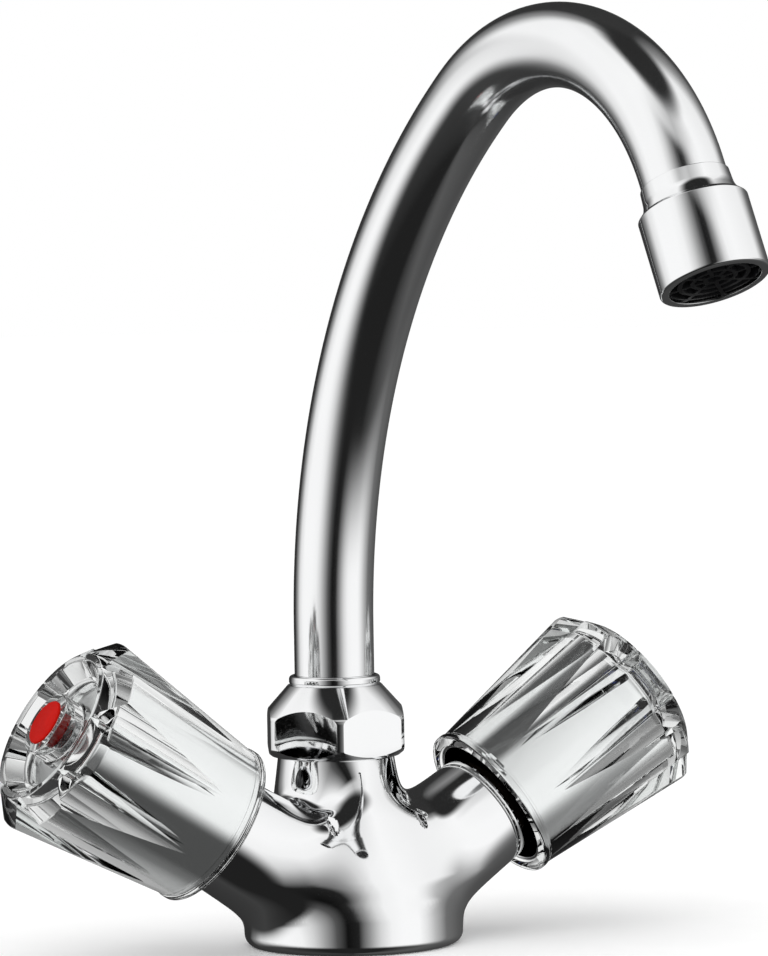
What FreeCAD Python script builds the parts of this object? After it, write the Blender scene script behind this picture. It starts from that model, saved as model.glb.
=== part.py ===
"""Two-handle kitchen mixer tap with a swivelling swan-neck spout and fluted clear handles.

Frame: the origin is the centre of the underside of the base, +Z is up, the spout faces -Y and
the handles stand along X, hot at -X and cold at +X. All sizes are in millimetres.

Stations along an arm ("s") are measured from the point where the two arm axes cross. Stations
along the outlet ("t") are measured from the end of the bent tube.
"""
import FreeCAD
import Part
import math
import os
from FreeCAD import Placement, Rotation, Vector

# Fits and clearances
running_fit = 0.05
loose_fit = 0.3
o_ring_nip = 0.02

# Broken edges, and how far a cut runs past the face that it opens
edge_rounding = 0.5
thread_chamfer = 0.6
rubber_rounding = 0.5
overrun = 1.0

# Base and body casting
base_diameter = 49.0
base_wall_height = 9.0
base_edge_radius = 2.4
base_shoulder_radius = 8.0
base_cone_height = 40.0
base_cone_top_radius = 4.2
base_draft = 0.5
arm_elevation = 32.5
arm_crossing_height = 6.5
arm_end_station = 37.5
arm_end_radius = 13.2
arm_root_radius = 14.6
arm_end_chamfer = 0.6
neck_set_back = 7.5
neck_shoulder_height = 41.4
neck_top_radius = 13.1
neck_root_radius = 15.2
neck_root_height = 24.0
neck_root_blend = 10.0
casting_blend_radius = 4.0

# Underside of the base
seal_groove_mean_radius = 19.4
seal_groove_width = 3.0
seal_groove_depth = 2.4
seal_rounding = 0.8
inlet_spacing = 21.0
inlet_thread_radius = 4.5
inlet_thread_depth = 9.0
inlet_bore_radius = 3.9
inlet_bore_top = 11.0
stud_hole_radius = 3.4
stud_hole_depth = 12.0
stud_hole_offset = 13.0
mouth_chamfer = 0.6

# Waterways in the casting
valve_thread_radius = 10.0
valve_thread_end_station = 26.0
valve_chamber_radius = 8.9
valve_chamber_floor_station = 17.5
seat_station = 19.5
seat_bore_radius = 4.6
seat_rim_radius = 6.9
seat_rim_flare = 0.8
seat_passage_start_station = 10.0
mixing_port_radius = 2.8
mixing_port_rise = 5.0
mixing_bore_radius = 6.5
mixing_bore_depth = 6.0
socket_radius = 9.0
socket_depth = 18.0
neck_thread_radius = 12.3
neck_thread_length = 10.6

# Union nut, its ring and the slip ring
nut_across_flats = 30.0
nut_corner_diameter = 33.8
nut_turn = 6.7
nut_top_radius = 10.5
nut_cone_height = 7.2
nut_foot_chamfer = 2.0
nut_foot_radius = 14.4
nut_shoulder_thickness = 2.3
ring_radius = 10.3
ring_height = 2.1
ring_foot_inset = 0.3
ring_foot_height = 0.5
ring_crown_rounding = 0.8
slip_ring_height = 1.2

# Spout
spout_swing = 6.6
tube_diameter = 18.0
tube_wall = 1.0
tube_rise = 15.9
rear_bend_radius = 147.7
rear_bend_angle = 52.6
front_bend_radius = 48.3
front_bend_angle = 102.1
tube_end_length = 7.5
foot_collar_radius = 11.0
foot_collar_height = 2.0
foot_bore_radius = 5.6
foot_plug_length = 9.0
foot_tip_gap = 0.8
foot_tip_chamfer = 0.8
foot_groove_first_station = 4.5
foot_groove_pitch = 6.0
foot_groove_count = 2
o_ring_width = 2.4
o_ring_depth = 1.7

# Outlet
flare_length = 5.6
flare_lip = 0.35
flare_lip_rounding = 0.15
flare_radius = 10.5
flare_waist_station = 3.5
flare_waist_radius = 9.6
flare_waist_rounding = 4.0
adapter_overlap = 5.5
adapter_thread_length = 7.0
adapter_thread_radius = 10.45
adapter_bore_radius = 7.8
housing_radius = 11.6
housing_length = 17.3
housing_wall = 1.1
housing_top_chamfer = 0.7
housing_lip_radius = 9.7
housing_lip_height = 1.0
outlet_washer_height = 1.6
outlet_washer_width = 2.4
insert_wall = 1.0
insert_rings = 3
insert_ring_width = 0.95
insert_spokes = 8
insert_spoke_width = 0.8
insert_grid_height = 1.4
screen_height = 0.6
screen_holes = 6
screen_hole_radius = 0.9
screen_rows = 2
screen_row_spacing = 3.1
insert_port_count = 8
insert_port_width = 2.2
insert_port_drop = 1.0

# Valve headwork
head_seal_height = 1.2
head_recess_depth = 3.2
head_flange_radius = 11.6
head_flange_height = 2.0
head_hex_across_flats = 19.0
head_hex_height = 6.0
head_hex_chamfer = 0.8
head_stem_radius = 7.4
head_top_station = 58.0
head_foot_gap = 0.4
guide_bore_radius = 7.2
guide_flat_offset = 6.3
guide_length = 7.5
upper_bore_radius = 6.2
thrust_station = 46.8
spindle_bore_radius = 4.95

# Spindle and its circlip
spindle_thread_radius = 3.95
spindle_foot_station = 28.2
thrust_collar_height = 1.9
spindle_groove_station = 51.0
circlip_height = 1.0
circlip_radius = 6.3
circlip_seat_radius = 3.9
circlip_gap_angle = 40.0
spline_radius = 4.0
spline_teeth = 20
spline_depth = 0.45
spline_gap_half_width = 0.42
spline_gap_overlap = 0.2
spline_start_station = 60.0
spindle_top_station = 72.0
spindle_top_chamfer = 0.5

# Jumper and washer
valve_lift = 3.75
washer_radius = 7.4
washer_height = 3.2
jumper_flange_radius = 8.0
jumper_flange_height = 1.5
jumper_top_station = 39.0
jumper_guide_length = 6.6
washer_screw_radius = 1.6
washer_screw_head_radius = 3.2
washer_screw_head_height = 1.8
washer_screw_length = 4.0
washer_screw_slot = 0.8
jumper_rounding = 0.3

# Handle
skirt_station = 41.4
skirt_radius = 18.9
lip_height = 2.2
lip_groove = 0.35
lip_groove_width = 0.6
cone_start_radius = 18.6
corner_station = 82.6
corner_radius = 23.3
front_station = 87.0
front_radius = 18.0
front_land = 1.6
front_rounding = 0.8
lobe_count = 8
flute_front_radius = 17.4
flute_runout_station = 50.0
flute_half_angle = 45.0
flute_root_radius = 0.5
flute_run_past = 12.0
dish_radius = 13.2
dish_floor_station = 83.4
dish_rounding = 1.0
boss_radius = 7.3
boss_top_station = 87.6
boss_foot_rounding = 0.6
boss_edge_rounding = 0.4
hot_handle_phase = -10.0
cold_handle_phase = 25.0

# Chromed sleeve inside the handle
sleeve_radius = 16.3
sleeve_wall = 0.8
sleeve_recess = 0.6
sleeve_front_station = 81.4
sleeve_front_wall = 2.5
sleeve_rounding = 1.0
hub_outer_radius = 7.0
insert_outer_radius = 5.0
insert_length = 12.0
hub_overhang = 0.2

# Handle screw and index button
screw_radius = 1.95
screw_head_radius = 3.9
screw_head_height = 2.3
screw_length = 16.0
screw_slot_width = 1.0
screw_slot_depth = 1.1
tapped_hole_depth = 9.0
button_radius = 5.6
button_face_station = 88.5
button_cap_height = 1.4
button_stem_radius = 4.2
button_stem_length = 1.6
button_stem_wall = 0.9
button_stem_depth = 1.2
button_dome = 0.5
button_rounding = 0.3

# Values worked out from the sizes above
Z_AXIS = Vector(0, 0, 1)
ORIGIN = Vector(0, 0, 0)
base_radius = base_diameter / 2
tube_radius = tube_diameter / 2
tube_bore_radius = tube_radius - tube_wall
neck_top_height = neck_shoulder_height + neck_thread_length
socket_floor = neck_top_height - socket_depth
mixing_bore_floor = socket_floor - mixing_bore_depth
foot_groove_stations = [foot_groove_first_station + foot_groove_pitch * i
                        for i in range(foot_groove_count)]
slip_ring_top = neck_top_height + slip_ring_height
foot_collar_top = slip_ring_top + foot_collar_height
nut_foot_height = neck_shoulder_height + loose_fit
nut_shoulder_height = foot_collar_top + loose_fit
nut_top_height = nut_shoulder_height + nut_shoulder_thickness
tube_hole_radius = tube_radius + loose_fit
head_recess_floor = arm_end_station - head_recess_depth
head_recess_radius = head_flange_radius + 2 * running_fit
flange_station = head_recess_floor + head_seal_height
hex_station = flange_station + head_flange_height
stem_station = hex_station + head_hex_height
washer_top_station = seat_station + washer_height
jumper_flange_top = washer_top_station + jumper_flange_height
head_foot_station = jumper_flange_top + valve_lift + head_foot_gap
guide_top_station = head_foot_station + guide_length
sleeve_start_station = skirt_station + sleeve_recess
sleeve_bore_radius = sleeve_radius - sleeve_wall
cavity_radius = sleeve_radius + running_fit
hub_start_station = spline_start_station - hub_overhang
housing_bore_radius = housing_radius - housing_wall


def outline(points):
    """Closed wire in the XZ plane from (r, z) corners; a third value rounds that corner."""
    corners = [(Vector(p[0], 0, p[1]), p[2] if len(p) > 2 else 0.0) for p in points]
    edges = []
    stops = []
    count = len(corners)
    shortest_edge = 1e-6
    for i, (corner, radius) in enumerate(corners):
        if radius == 0.0:
            stops.append((corner, corner, None))
            continue
        back = (corners[i - 1][0] - corner).normalize()
        ahead = (corners[(i + 1) % count][0] - corner).normalize()
        half = back.getAngle(ahead) / 2
        reach = radius / math.tan(half)
        middle = (back + ahead).normalize() * (radius / math.sin(half) - radius)
        stops.append((corner + back * reach, corner + ahead * reach, corner + middle))
    for i, (start, end, middle) in enumerate(stops):
        if middle is not None:
            edges.append(Part.Arc(start, middle, end).toShape())
        following = stops[(i + 1) % count][0]
        if (following - end).Length > shortest_edge:
            edges.append(Part.LineSegment(end, following).toShape())
    return Part.Wire(edges)


def turned(points, sweep=360.0):
    """Solid of revolution about Z from an outline in the XZ plane."""
    return Part.Face(outline(points)).revolve(ORIGIN, Z_AXIS, sweep)


def rod(radius, low, high):
    """Cylinder on the Z axis between two heights."""
    return Part.makeCylinder(radius, high - low, Vector(0, 0, low))


def ring(inner, outer, low, high, rounding=0.0):
    """Ring of rectangular section about Z, its corners rounded if asked."""
    return turned([(inner, low, rounding), (outer, low, rounding),
                   (outer, high, rounding), (inner, high, rounding)])


def hexagon(across_flats, low, high, turn=0.0):
    """Six-sided prism on the Z axis with a corner at the angle turn."""
    radius = across_flats / math.sqrt(3)
    corners = []
    for i in range(7):
        angle = math.radians(turn + 60 * i)
        corners.append(Vector(radius * math.cos(angle), radius * math.sin(angle), low))
    return Part.Face(Part.makePolygon(corners)).extrude(Vector(0, 0, high - low))


def slot_block(width, low, high, reach):
    """Block of the given width along Y, centred on the Z axis, reach each way along X."""
    return Part.makeBox(2 * reach, width, high - low, Vector(-reach, -width / 2, low))


def around(shape, count, first=0.0):
    """Copies of a shape spaced evenly about the Z axis."""
    copies = []
    for i in range(count):
        copy = shape.copy()
        copy.rotate(ORIGIN, Z_AXIS, first + 360.0 * i / count)
        copies.append(copy)
    return copies


def arm_placement(side, phase=0.0):
    """Takes a piece built along Z to the arm on one side; phase turns it about the arm."""
    lean = Rotation(Vector(0, 1, 0), side * (90 - arm_elevation))
    return Placement(Vector(0, 0, arm_crossing_height), lean * Rotation(Z_AXIS, phase))


def on_arm(shape, side, phase=0.0):
    """Copy of a piece built along Z, moved to the arm on one side."""
    moved = shape.copy()
    moved.Placement = arm_placement(side, phase).multiply(moved.Placement)
    return moved


def on_neck(shape):
    """Copy of a piece built about Z, moved to the axis of the neck."""
    moved = shape.copy()
    moved.translate(Vector(0, neck_set_back, 0))
    return moved


def arm_point(side, station, rise=0.0):
    """Point on the arm axis at a station, raised square to the axis."""
    return arm_placement(side).multVec(Vector(-side * rise, 0, station))


def crossing_edges(shape):
    """Edges where two turned forms cross: the ones that are neither circles nor straight."""
    plain = (Part.Circle, Part.Line)
    return [edge for edge in shape.Edges if not isinstance(edge.Curve, plain)]


def casting_skin():
    """Outside of the casting: base with its cone, two arms and neck, blended where they meet."""
    base = turned([
        (0, 0),
        (base_radius, 0, base_edge_radius),
        (base_radius - base_draft, base_wall_height, base_shoulder_radius),
        (base_cone_top_radius, base_cone_height),
        (0, base_cone_height),
    ])
    arm = turned([
        (0, 0),
        (arm_root_radius, 0),
        (arm_end_radius, arm_end_station - arm_end_chamfer),
        (arm_end_radius - arm_end_chamfer, arm_end_station),
        (0, arm_end_station),
    ])
    neck = on_neck(turned([
        (0, base_wall_height),
        (neck_root_radius, base_wall_height),
        (neck_root_radius, neck_root_height, neck_root_blend),
        (neck_top_radius, neck_shoulder_height),
        (0, neck_shoulder_height),
    ]))
    skin = base.multiFuse([on_arm(arm, -1), on_arm(arm, 1), neck])
    floor = Part.makeBox(4 * base_radius, 4 * base_radius, base_radius,
                         Vector(-2 * base_radius, -2 * base_radius, -base_radius))
    skin = skin.cut(floor).removeSplitter()
    skin = skin.makeFillet(casting_blend_radius, crossing_edges(skin))
    spigot = on_neck(rod(neck_thread_radius, neck_root_height, neck_top_height))
    return skin.fuse(spigot)


def valve_waterway(side):
    """Bore of one arm, with a raised seat at its floor and the passage under the seat."""
    thread = rod(valve_thread_radius, valve_thread_end_station, arm_end_station + overrun)
    chamber = rod(valve_chamber_radius, valve_chamber_floor_station, valve_thread_end_station)
    seat = turned([
        (seat_bore_radius - overrun, valve_chamber_floor_station - overrun),
        (seat_rim_radius + seat_rim_flare, valve_chamber_floor_station - overrun),
        (seat_rim_radius, seat_station, edge_rounding),
        (seat_bore_radius - overrun, seat_station),
    ])
    passage = rod(seat_bore_radius, seat_passage_start_station, seat_station + overrun)
    recess = rod(head_recess_radius, head_recess_floor, arm_end_station + overrun)
    bore = on_arm(thread.fuse(recess).fuse(chamber).cut(seat).fuse(passage), side)
    inlet = rod(inlet_bore_radius, -overrun, inlet_bore_top)
    inlet = inlet.fuse(rod(inlet_thread_radius, -overrun, inlet_thread_depth))
    inlet = inlet.fuse(Part.makeCone(inlet_thread_radius + mouth_chamfer, inlet_thread_radius,
                                     mouth_chamfer))
    inlet.translate(Vector(side * inlet_spacing / 2, 0, 0))
    start = arm_point(side, (seat_station + valve_thread_end_station) / 2, mixing_port_rise)
    end = Vector(0, neck_set_back, (mixing_bore_floor + socket_floor) / 2)
    port = Part.makeCylinder(mixing_port_radius, (end - start).Length, start, end - start)
    return bore.fuse(inlet).fuse(port)


def body_casting():
    """The Y-shaped brass casting with its waterways and the holes in its underside."""
    mixing = on_neck(rod(mixing_bore_radius, mixing_bore_floor, socket_floor + overrun))
    socket = on_neck(rod(socket_radius, socket_floor, neck_top_height + overrun))
    groove = ring(seal_groove_mean_radius - seal_groove_width / 2,
                  seal_groove_mean_radius + seal_groove_width / 2, -overrun,
                  seal_groove_depth)
    stud_hole = rod(stud_hole_radius, -overrun, stud_hole_depth)
    stud_hole = stud_hole.fuse(Part.makeCone(stud_hole_radius + mouth_chamfer,
                                             stud_hole_radius, mouth_chamfer))
    stud_hole.translate(Vector(0, -stud_hole_offset, 0))
    cuts = [valve_waterway(-1), valve_waterway(1), mixing, socket, groove, stud_hole]
    return casting_skin().cut(cuts)


def base_seal():
    """Rubber ring in the groove under the base."""
    inner = seal_groove_mean_radius - seal_groove_width / 2 + running_fit
    outer = seal_groove_mean_radius + seal_groove_width / 2 - running_fit
    return ring(inner, outer, 0, seal_groove_depth, seal_rounding)


def union_nut():
    """Hexagon nut with a long cone above the flats, holding the spout's collar down."""
    blank = hexagon(nut_across_flats, nut_foot_height, nut_top_height, nut_turn)
    corner = nut_corner_diameter / 2
    envelope = turned([
        (0, nut_foot_height),
        (nut_foot_radius, nut_foot_height),
        (corner, nut_foot_height + nut_foot_chamfer),
        (corner, nut_top_height - nut_cone_height),
        (nut_top_radius, nut_top_height, edge_rounding),
        (0, nut_top_height),
    ])
    thread = rod(neck_thread_radius + running_fit, nut_foot_height - overrun,
                 neck_top_height)
    recess = rod(foot_collar_radius + loose_fit, neck_top_height, nut_shoulder_height)
    hole = rod(tube_hole_radius, nut_shoulder_height, nut_top_height + overrun)
    return on_neck(blank.common(envelope).cut([thread, recess, hole]))


def nut_ring():
    """Thin polished ring that closes the gap between the tube and the top of the nut."""
    return on_neck(turned([
        (tube_hole_radius, nut_top_height),
        (ring_radius - ring_foot_inset, nut_top_height),
        (ring_radius, nut_top_height + ring_foot_height, ring_foot_inset),
        (ring_radius, nut_top_height + ring_height, ring_crown_rounding),
        (tube_hole_radius, nut_top_height + ring_height),
    ]))


def slip_ring():
    """Plastic ring between the top of the neck and the spout's collar."""
    return on_neck(ring(socket_radius + loose_fit, foot_collar_radius, neck_top_height,
                        slip_ring_top))


def swung(shape):
    """Copy of a piece built in the plane x = 0 about Z, moved to the swung spout."""
    moved = shape.copy()
    moved.rotate(ORIGIN, Z_AXIS, spout_swing)
    return on_neck(moved)


def spout_tube():
    """Swan-neck tube: a short rise, a long rear bend, a tight front bend and a straight end."""
    bottom = foot_collar_top
    bend_start = bottom + tube_rise
    bore = Part.Face(Part.Wire(Part.makeCircle(tube_bore_radius, Vector(0, 0, bottom))))
    section = Part.Face(Part.Wire(Part.makeCircle(tube_radius, Vector(0, 0, bottom)))).cut(bore)
    rise = section.extrude(Vector(0, 0, tube_rise))
    section.translate(Vector(0, 0, tube_rise))
    bend_axis = Vector(1, 0, 0)
    rear_centre = Vector(0, -rear_bend_radius, bend_start)
    rear = section.revolve(rear_centre, bend_axis, rear_bend_angle)
    section.rotate(rear_centre, bend_axis, rear_bend_angle)
    inward = Rotation(bend_axis, rear_bend_angle).multVec(Vector(0, -1, 0))
    joint = rear_centre - inward * rear_bend_radius
    front_centre = joint + inward * front_bend_radius
    front = section.revolve(front_centre, bend_axis, front_bend_angle)
    section.rotate(front_centre, bend_axis, front_bend_angle)
    end = section.extrude(outlet_direction() * tube_end_length)
    return swung(rise.multiFuse([rear, front, end]).removeSplitter())


def outlet_direction():
    """Direction in which the end of the tube points, in the plane x = 0."""
    turn = Rotation(Vector(1, 0, 0), rear_bend_angle + front_bend_angle)
    return turn.multVec(Vector(0, 0, 1))


def outlet_point():
    """End of the tube's centre line, in the plane x = 0."""
    rear = math.radians(rear_bend_angle)
    both = math.radians(rear_bend_angle + front_bend_angle)
    reach = rear_bend_radius * (1 - math.cos(rear))
    reach += front_bend_radius * (math.cos(rear) - math.cos(both))
    height = foot_collar_top + tube_rise + rear_bend_radius * math.sin(rear)
    height += front_bend_radius * (math.sin(both) - math.sin(rear))
    return Vector(0, -reach, height) + outlet_direction() * tube_end_length


def at_outlet(shape):
    """Copy of a piece built along +Z from the tube's end, moved to the swung outlet."""
    moved = shape.copy()
    turn = Rotation(Vector(1, 0, 0), rear_bend_angle + front_bend_angle)
    moved.Placement = Placement(outlet_point(), turn)
    return swung(moved)


def spout_foot():
    """Turned foot in the end of the tube: plug, trapped collar and grooved spigot."""
    spigot = socket_radius - running_fit
    tip = socket_floor + foot_tip_gap
    plug = tube_bore_radius - running_fit
    points = [(foot_bore_radius, tip), (spigot - foot_tip_chamfer, tip),
              (spigot, tip + foot_tip_chamfer)]
    for station in foot_groove_stations:
        low = tip + station
        points += [(spigot, low), (spigot - o_ring_depth, low),
                   (spigot - o_ring_depth, low + o_ring_width), (spigot, low + o_ring_width)]
    points += [
        (spigot, slip_ring_top),
        (foot_collar_radius, slip_ring_top),
        (foot_collar_radius, foot_collar_top, edge_rounding),
        (plug, foot_collar_top),
        (plug, foot_collar_top + foot_plug_length - thread_chamfer),
        (plug - thread_chamfer, foot_collar_top + foot_plug_length),
        (foot_bore_radius, foot_collar_top + foot_plug_length),
    ]
    return on_neck(turned(points))


def spout_o_rings():
    """Two rubber rings on the spigot, as one group."""
    spigot = socket_radius - running_fit
    rings = []
    for station in foot_groove_stations:
        low = socket_floor + foot_tip_gap + station
        rings.append(on_neck(ring(spigot - o_ring_depth + o_ring_nip, spigot + o_ring_nip,
                                  low + o_ring_nip, low + o_ring_width - o_ring_nip,
                                  rubber_rounding)))
    return Part.makeCompound(rings)


def outlet_adapter():
    """Collar on the tube's end: a hollow flare outside, a thread for the housing below."""
    sleeve = tube_radius + running_fit
    lip = sleeve + flare_lip
    points = [
        (sleeve, -adapter_overlap),
        (lip, -adapter_overlap, flare_lip_rounding),
        (flare_waist_radius, flare_waist_station - adapter_overlap, flare_waist_rounding),
        (flare_radius, flare_length - adapter_overlap),
        (adapter_thread_radius, flare_length - adapter_overlap),
        (adapter_thread_radius, flare_length - adapter_overlap + adapter_thread_length),
        (adapter_bore_radius, flare_length - adapter_overlap + adapter_thread_length),
        (adapter_bore_radius, running_fit),
        (sleeve, running_fit),
    ]
    return at_outlet(turned(points))


def housing_start():
    """Station of the top edge of the aerator housing."""
    return flare_length - adapter_overlap


def aerator_housing():
    """Polished cylinder screwed over the adapter, with a lip that holds the insert."""
    start = housing_start()
    end = start + housing_length
    return at_outlet(turned([
        (adapter_thread_radius + running_fit, start),
        (housing_radius - housing_top_chamfer, start),
        (housing_radius, start + housing_top_chamfer),
        (housing_radius, end, edge_rounding),
        (housing_lip_radius, end),
        (housing_lip_radius, end - housing_lip_height),
        (housing_bore_radius, end - housing_lip_height),
        (housing_bore_radius, start + adapter_thread_length),
        (adapter_thread_radius + running_fit, start + adapter_thread_length),
    ]))


def aerator_washer():
    """Rubber washer between the adapter and the insert."""
    low = housing_start() + adapter_thread_length
    outer = housing_bore_radius - running_fit
    return at_outlet(ring(outer - outlet_washer_width, outer, low, low + outlet_washer_height))


def screen_station():
    """Station of the upper face of the perforated screen."""
    return housing_start() + adapter_thread_length + outlet_washer_height


def aerator_screen():
    """Perforated disc at the top of the insert."""
    low = screen_station()
    outer = housing_bore_radius - running_fit
    disc = rod(outer, low, low + screen_height)
    hole = rod(screen_hole_radius, low - overrun, low + screen_height + overrun)
    holes = [hole.copy()]
    for row in range(1, screen_rows + 1):
        hole.translate(Vector(screen_row_spacing, 0, 0))
        holes += around(hole, screen_holes * row)
    return at_outlet(disc.cut(holes))


def aerator_insert():
    """Moulded cup with air ports in its wall and a grid of rings and spokes at its mouth."""
    low = screen_station() + screen_height
    high = housing_start() + housing_length - housing_lip_height
    outer = housing_bore_radius - running_fit
    bore = outer - insert_wall
    grid_low = high - insert_grid_height
    step = bore / (insert_rings + 0.5)
    grid = []
    for i in range(insert_rings):
        inner = step * (i + 0.5)
        grid.append(ring(inner, inner + insert_ring_width, grid_low, high))
    spoke_start = step / 2 + insert_ring_width / 2
    spoke_end = bore + insert_wall / 2
    spoke = Part.makeBox(spoke_end - spoke_start, insert_spoke_width, insert_grid_height,
                         Vector(spoke_start, -insert_spoke_width / 2, grid_low))
    grid += around(spoke, insert_spokes)
    body = ring(bore, outer, low, high).multiFuse(grid)
    port = Part.makeBox(3 * insert_wall, insert_port_width, insert_port_width,
                        Vector(bore - insert_wall, -insert_port_width / 2,
                               low + insert_port_drop))
    return at_outlet(body.cut(around(port, insert_port_count, 180.0 / insert_port_count)))


def head_seal():
    """Fibre washer under the flange of the headwork, in the recess at the end of the arm."""
    return ring(valve_thread_radius + running_fit, head_flange_radius, head_recess_floor,
                flange_station)


def headwork():
    """Brass valve body: threaded barrel, flange, spanner hexagon and stem."""
    barrel = valve_thread_radius - running_fit
    body = turned([
        (0, head_foot_station),
        (barrel - thread_chamfer, head_foot_station),
        (barrel, head_foot_station + thread_chamfer),
        (barrel, flange_station),
        (head_flange_radius, flange_station),
        (head_flange_radius, hex_station, edge_rounding),
        (head_stem_radius, hex_station),
        (head_stem_radius, head_top_station, edge_rounding),
        (0, head_top_station),
    ])
    spanner = hexagon(head_hex_across_flats, hex_station, stem_station)
    corner = head_hex_across_flats / math.sqrt(3)
    envelope = turned([
        (0, hex_station),
        (corner, hex_station),
        (corner, stem_station - head_hex_chamfer),
        (head_hex_across_flats / 2, stem_station),
        (0, stem_station),
    ])
    guide = rod(guide_bore_radius, head_foot_station - overrun, guide_top_station)
    flats = slot_block(2 * guide_flat_offset, head_foot_station - overrun, guide_top_station,
                       guide_bore_radius + overrun)
    upper = rod(upper_bore_radius, guide_top_station - overrun, thrust_station)
    journal = rod(spindle_bore_radius, thrust_station - overrun, head_top_station + overrun)
    body = body.fuse(spanner.common(envelope))
    return body.cut([guide.common(flats), upper, journal])


def spindle():
    """Turned spindle: lifting thread, thrust collar, grooved journal and splined top."""
    journal = spindle_bore_radius - running_fit
    collar = upper_bore_radius - 2 * running_fit
    collar_top = thrust_station - loose_fit
    groove = journal - o_ring_depth
    clip_low = head_top_station + loose_fit
    clip_high = clip_low + circlip_height + 2 * running_fit
    blank = turned([
        (0, spindle_foot_station),
        (spindle_thread_radius - thread_chamfer, spindle_foot_station),
        (spindle_thread_radius, spindle_foot_station + thread_chamfer),
        (spindle_thread_radius, collar_top - thrust_collar_height),
        (collar, collar_top - thrust_collar_height),
        (collar, collar_top),
        (journal, collar_top),
        (journal, spindle_groove_station),
        (groove, spindle_groove_station),
        (groove, spindle_groove_station + o_ring_width),
        (journal, spindle_groove_station + o_ring_width),
        (journal, clip_low),
        (circlip_seat_radius, clip_low),
        (circlip_seat_radius, clip_high),
        (spline_radius, clip_high),
        (spline_radius, spindle_top_station - spindle_top_chamfer),
        (spline_radius - spindle_top_chamfer, spindle_top_station),
        (0, spindle_top_station),
    ])
    root = Vector(spline_radius - spline_depth, 0, spline_start_station)
    mouth = spline_radius + spline_gap_overlap
    tooth_gap = Part.Face(Part.makePolygon([
        root,
        Vector(mouth, -spline_gap_half_width, spline_start_station),
        Vector(mouth, spline_gap_half_width, spline_start_station),
        root,
    ]))
    spline_length = spindle_top_station - spline_start_station
    tooth_gap = tooth_gap.extrude(Vector(0, 0, spline_length + overrun))
    tapped = rod(screw_radius + running_fit, spindle_top_station - tapped_hole_depth,
                 spindle_top_station + overrun)
    return blank.cut(around(tooth_gap, spline_teeth) + [tapped])


def spindle_o_ring():
    """Rubber ring in the groove of the spindle's journal."""
    journal = spindle_bore_radius - running_fit
    return ring(journal - o_ring_depth + o_ring_nip, journal + o_ring_nip,
                spindle_groove_station + o_ring_nip,
                spindle_groove_station + o_ring_width - o_ring_nip, rubber_rounding)


def circlip():
    """Open spring clip in the groove above the headwork."""
    low = head_top_station + loose_fit + running_fit
    clip = ring(circlip_seat_radius + running_fit, circlip_radius, low, low + circlip_height)
    half_gap = circlip_radius * math.tan(math.radians(circlip_gap_angle / 2))
    mouth = Part.makeBox(2 * circlip_radius, 2 * half_gap, circlip_height + 2 * overrun,
                         Vector(0, -half_gap, low - overrun))
    return clip.cut(mouth)


def jumper():
    """Sliding valve carrier: flange over the washer, flatted guide and threaded barrel."""
    guide = guide_bore_radius - running_fit
    guide_top = jumper_flange_top + jumper_guide_length
    body = turned([
        (0, washer_top_station),
        (jumper_flange_radius, washer_top_station, jumper_rounding),
        (jumper_flange_radius, jumper_flange_top, jumper_rounding),
        (guide, jumper_flange_top),
        (guide, guide_top),
        (upper_bore_radius - running_fit, guide_top),
        (upper_bore_radius - running_fit, jumper_top_station, jumper_rounding),
        (0, jumper_top_station),
    ])
    across_flats = 2 * (guide_flat_offset - running_fit)
    flat_zone = rod(guide + overrun, jumper_flange_top, guide_top)
    flat_zone = flat_zone.cut(slot_block(across_flats, jumper_flange_top, guide_top,
                                         guide + 2 * overrun))
    bore_floor = spindle_foot_station - valve_lift - loose_fit
    bore = rod(spindle_thread_radius + running_fit, bore_floor, jumper_top_station + overrun)
    screw_hole = rod(washer_screw_radius + running_fit, washer_top_station - overrun,
                     bore_floor + overrun)
    return body.cut([flat_zone, bore, screw_hole])


def valve_washer():
    """Rubber washer that closes on the seat."""
    return ring(washer_screw_radius + running_fit, washer_radius, seat_station,
                washer_top_station, rubber_rounding)


def washer_screw():
    """Slotted screw that holds the washer to the jumper."""
    head_low = seat_station - washer_screw_head_height
    screw = turned([
        (0, head_low),
        (washer_screw_head_radius - edge_rounding, head_low),
        (washer_screw_head_radius, head_low + edge_rounding),
        (washer_screw_head_radius, seat_station),
        (washer_screw_radius, seat_station),
        (washer_screw_radius, seat_station + washer_screw_length),
        (0, seat_station + washer_screw_length),
    ])
    slot = slot_block(washer_screw_slot, head_low - overrun, head_low + washer_screw_slot,
                      washer_screw_head_radius + overrun)
    return screw.cut(slot)


def cone_radius_at(station):
    """Outside radius of the handle's cone at a station, before the flutes are cut."""
    start = skirt_station + lip_height
    slope = (corner_radius - cone_start_radius) / (corner_station - start)
    return cone_start_radius + slope * (station - start)


def flute_cutter():
    """V-shaped bar whose root runs out of the cone towards the skirt."""
    foot = Vector(cone_radius_at(flute_runout_station), 0, flute_runout_station)
    tip = Vector(flute_front_radius, 0, front_station)
    along = (tip - foot).normalize()
    outward = Vector(along.z, 0, -along.x)
    reach = corner_radius
    spread = reach * math.tan(math.radians(flute_half_angle))
    start = foot - along * flute_run_past
    left = start + outward * reach + Vector(0, spread, 0)
    right = start + outward * reach - Vector(0, spread, 0)
    bar = Part.Face(Part.makePolygon([start, left, right, start]))
    bar = bar.extrude(along * ((tip - foot).Length + 2 * flute_run_past))
    root = min(bar.Edges, key=lambda edge: (edge.CenterOfMass - start).cross(along).Length)
    return bar.makeFillet(flute_root_radius, [root])


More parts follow.
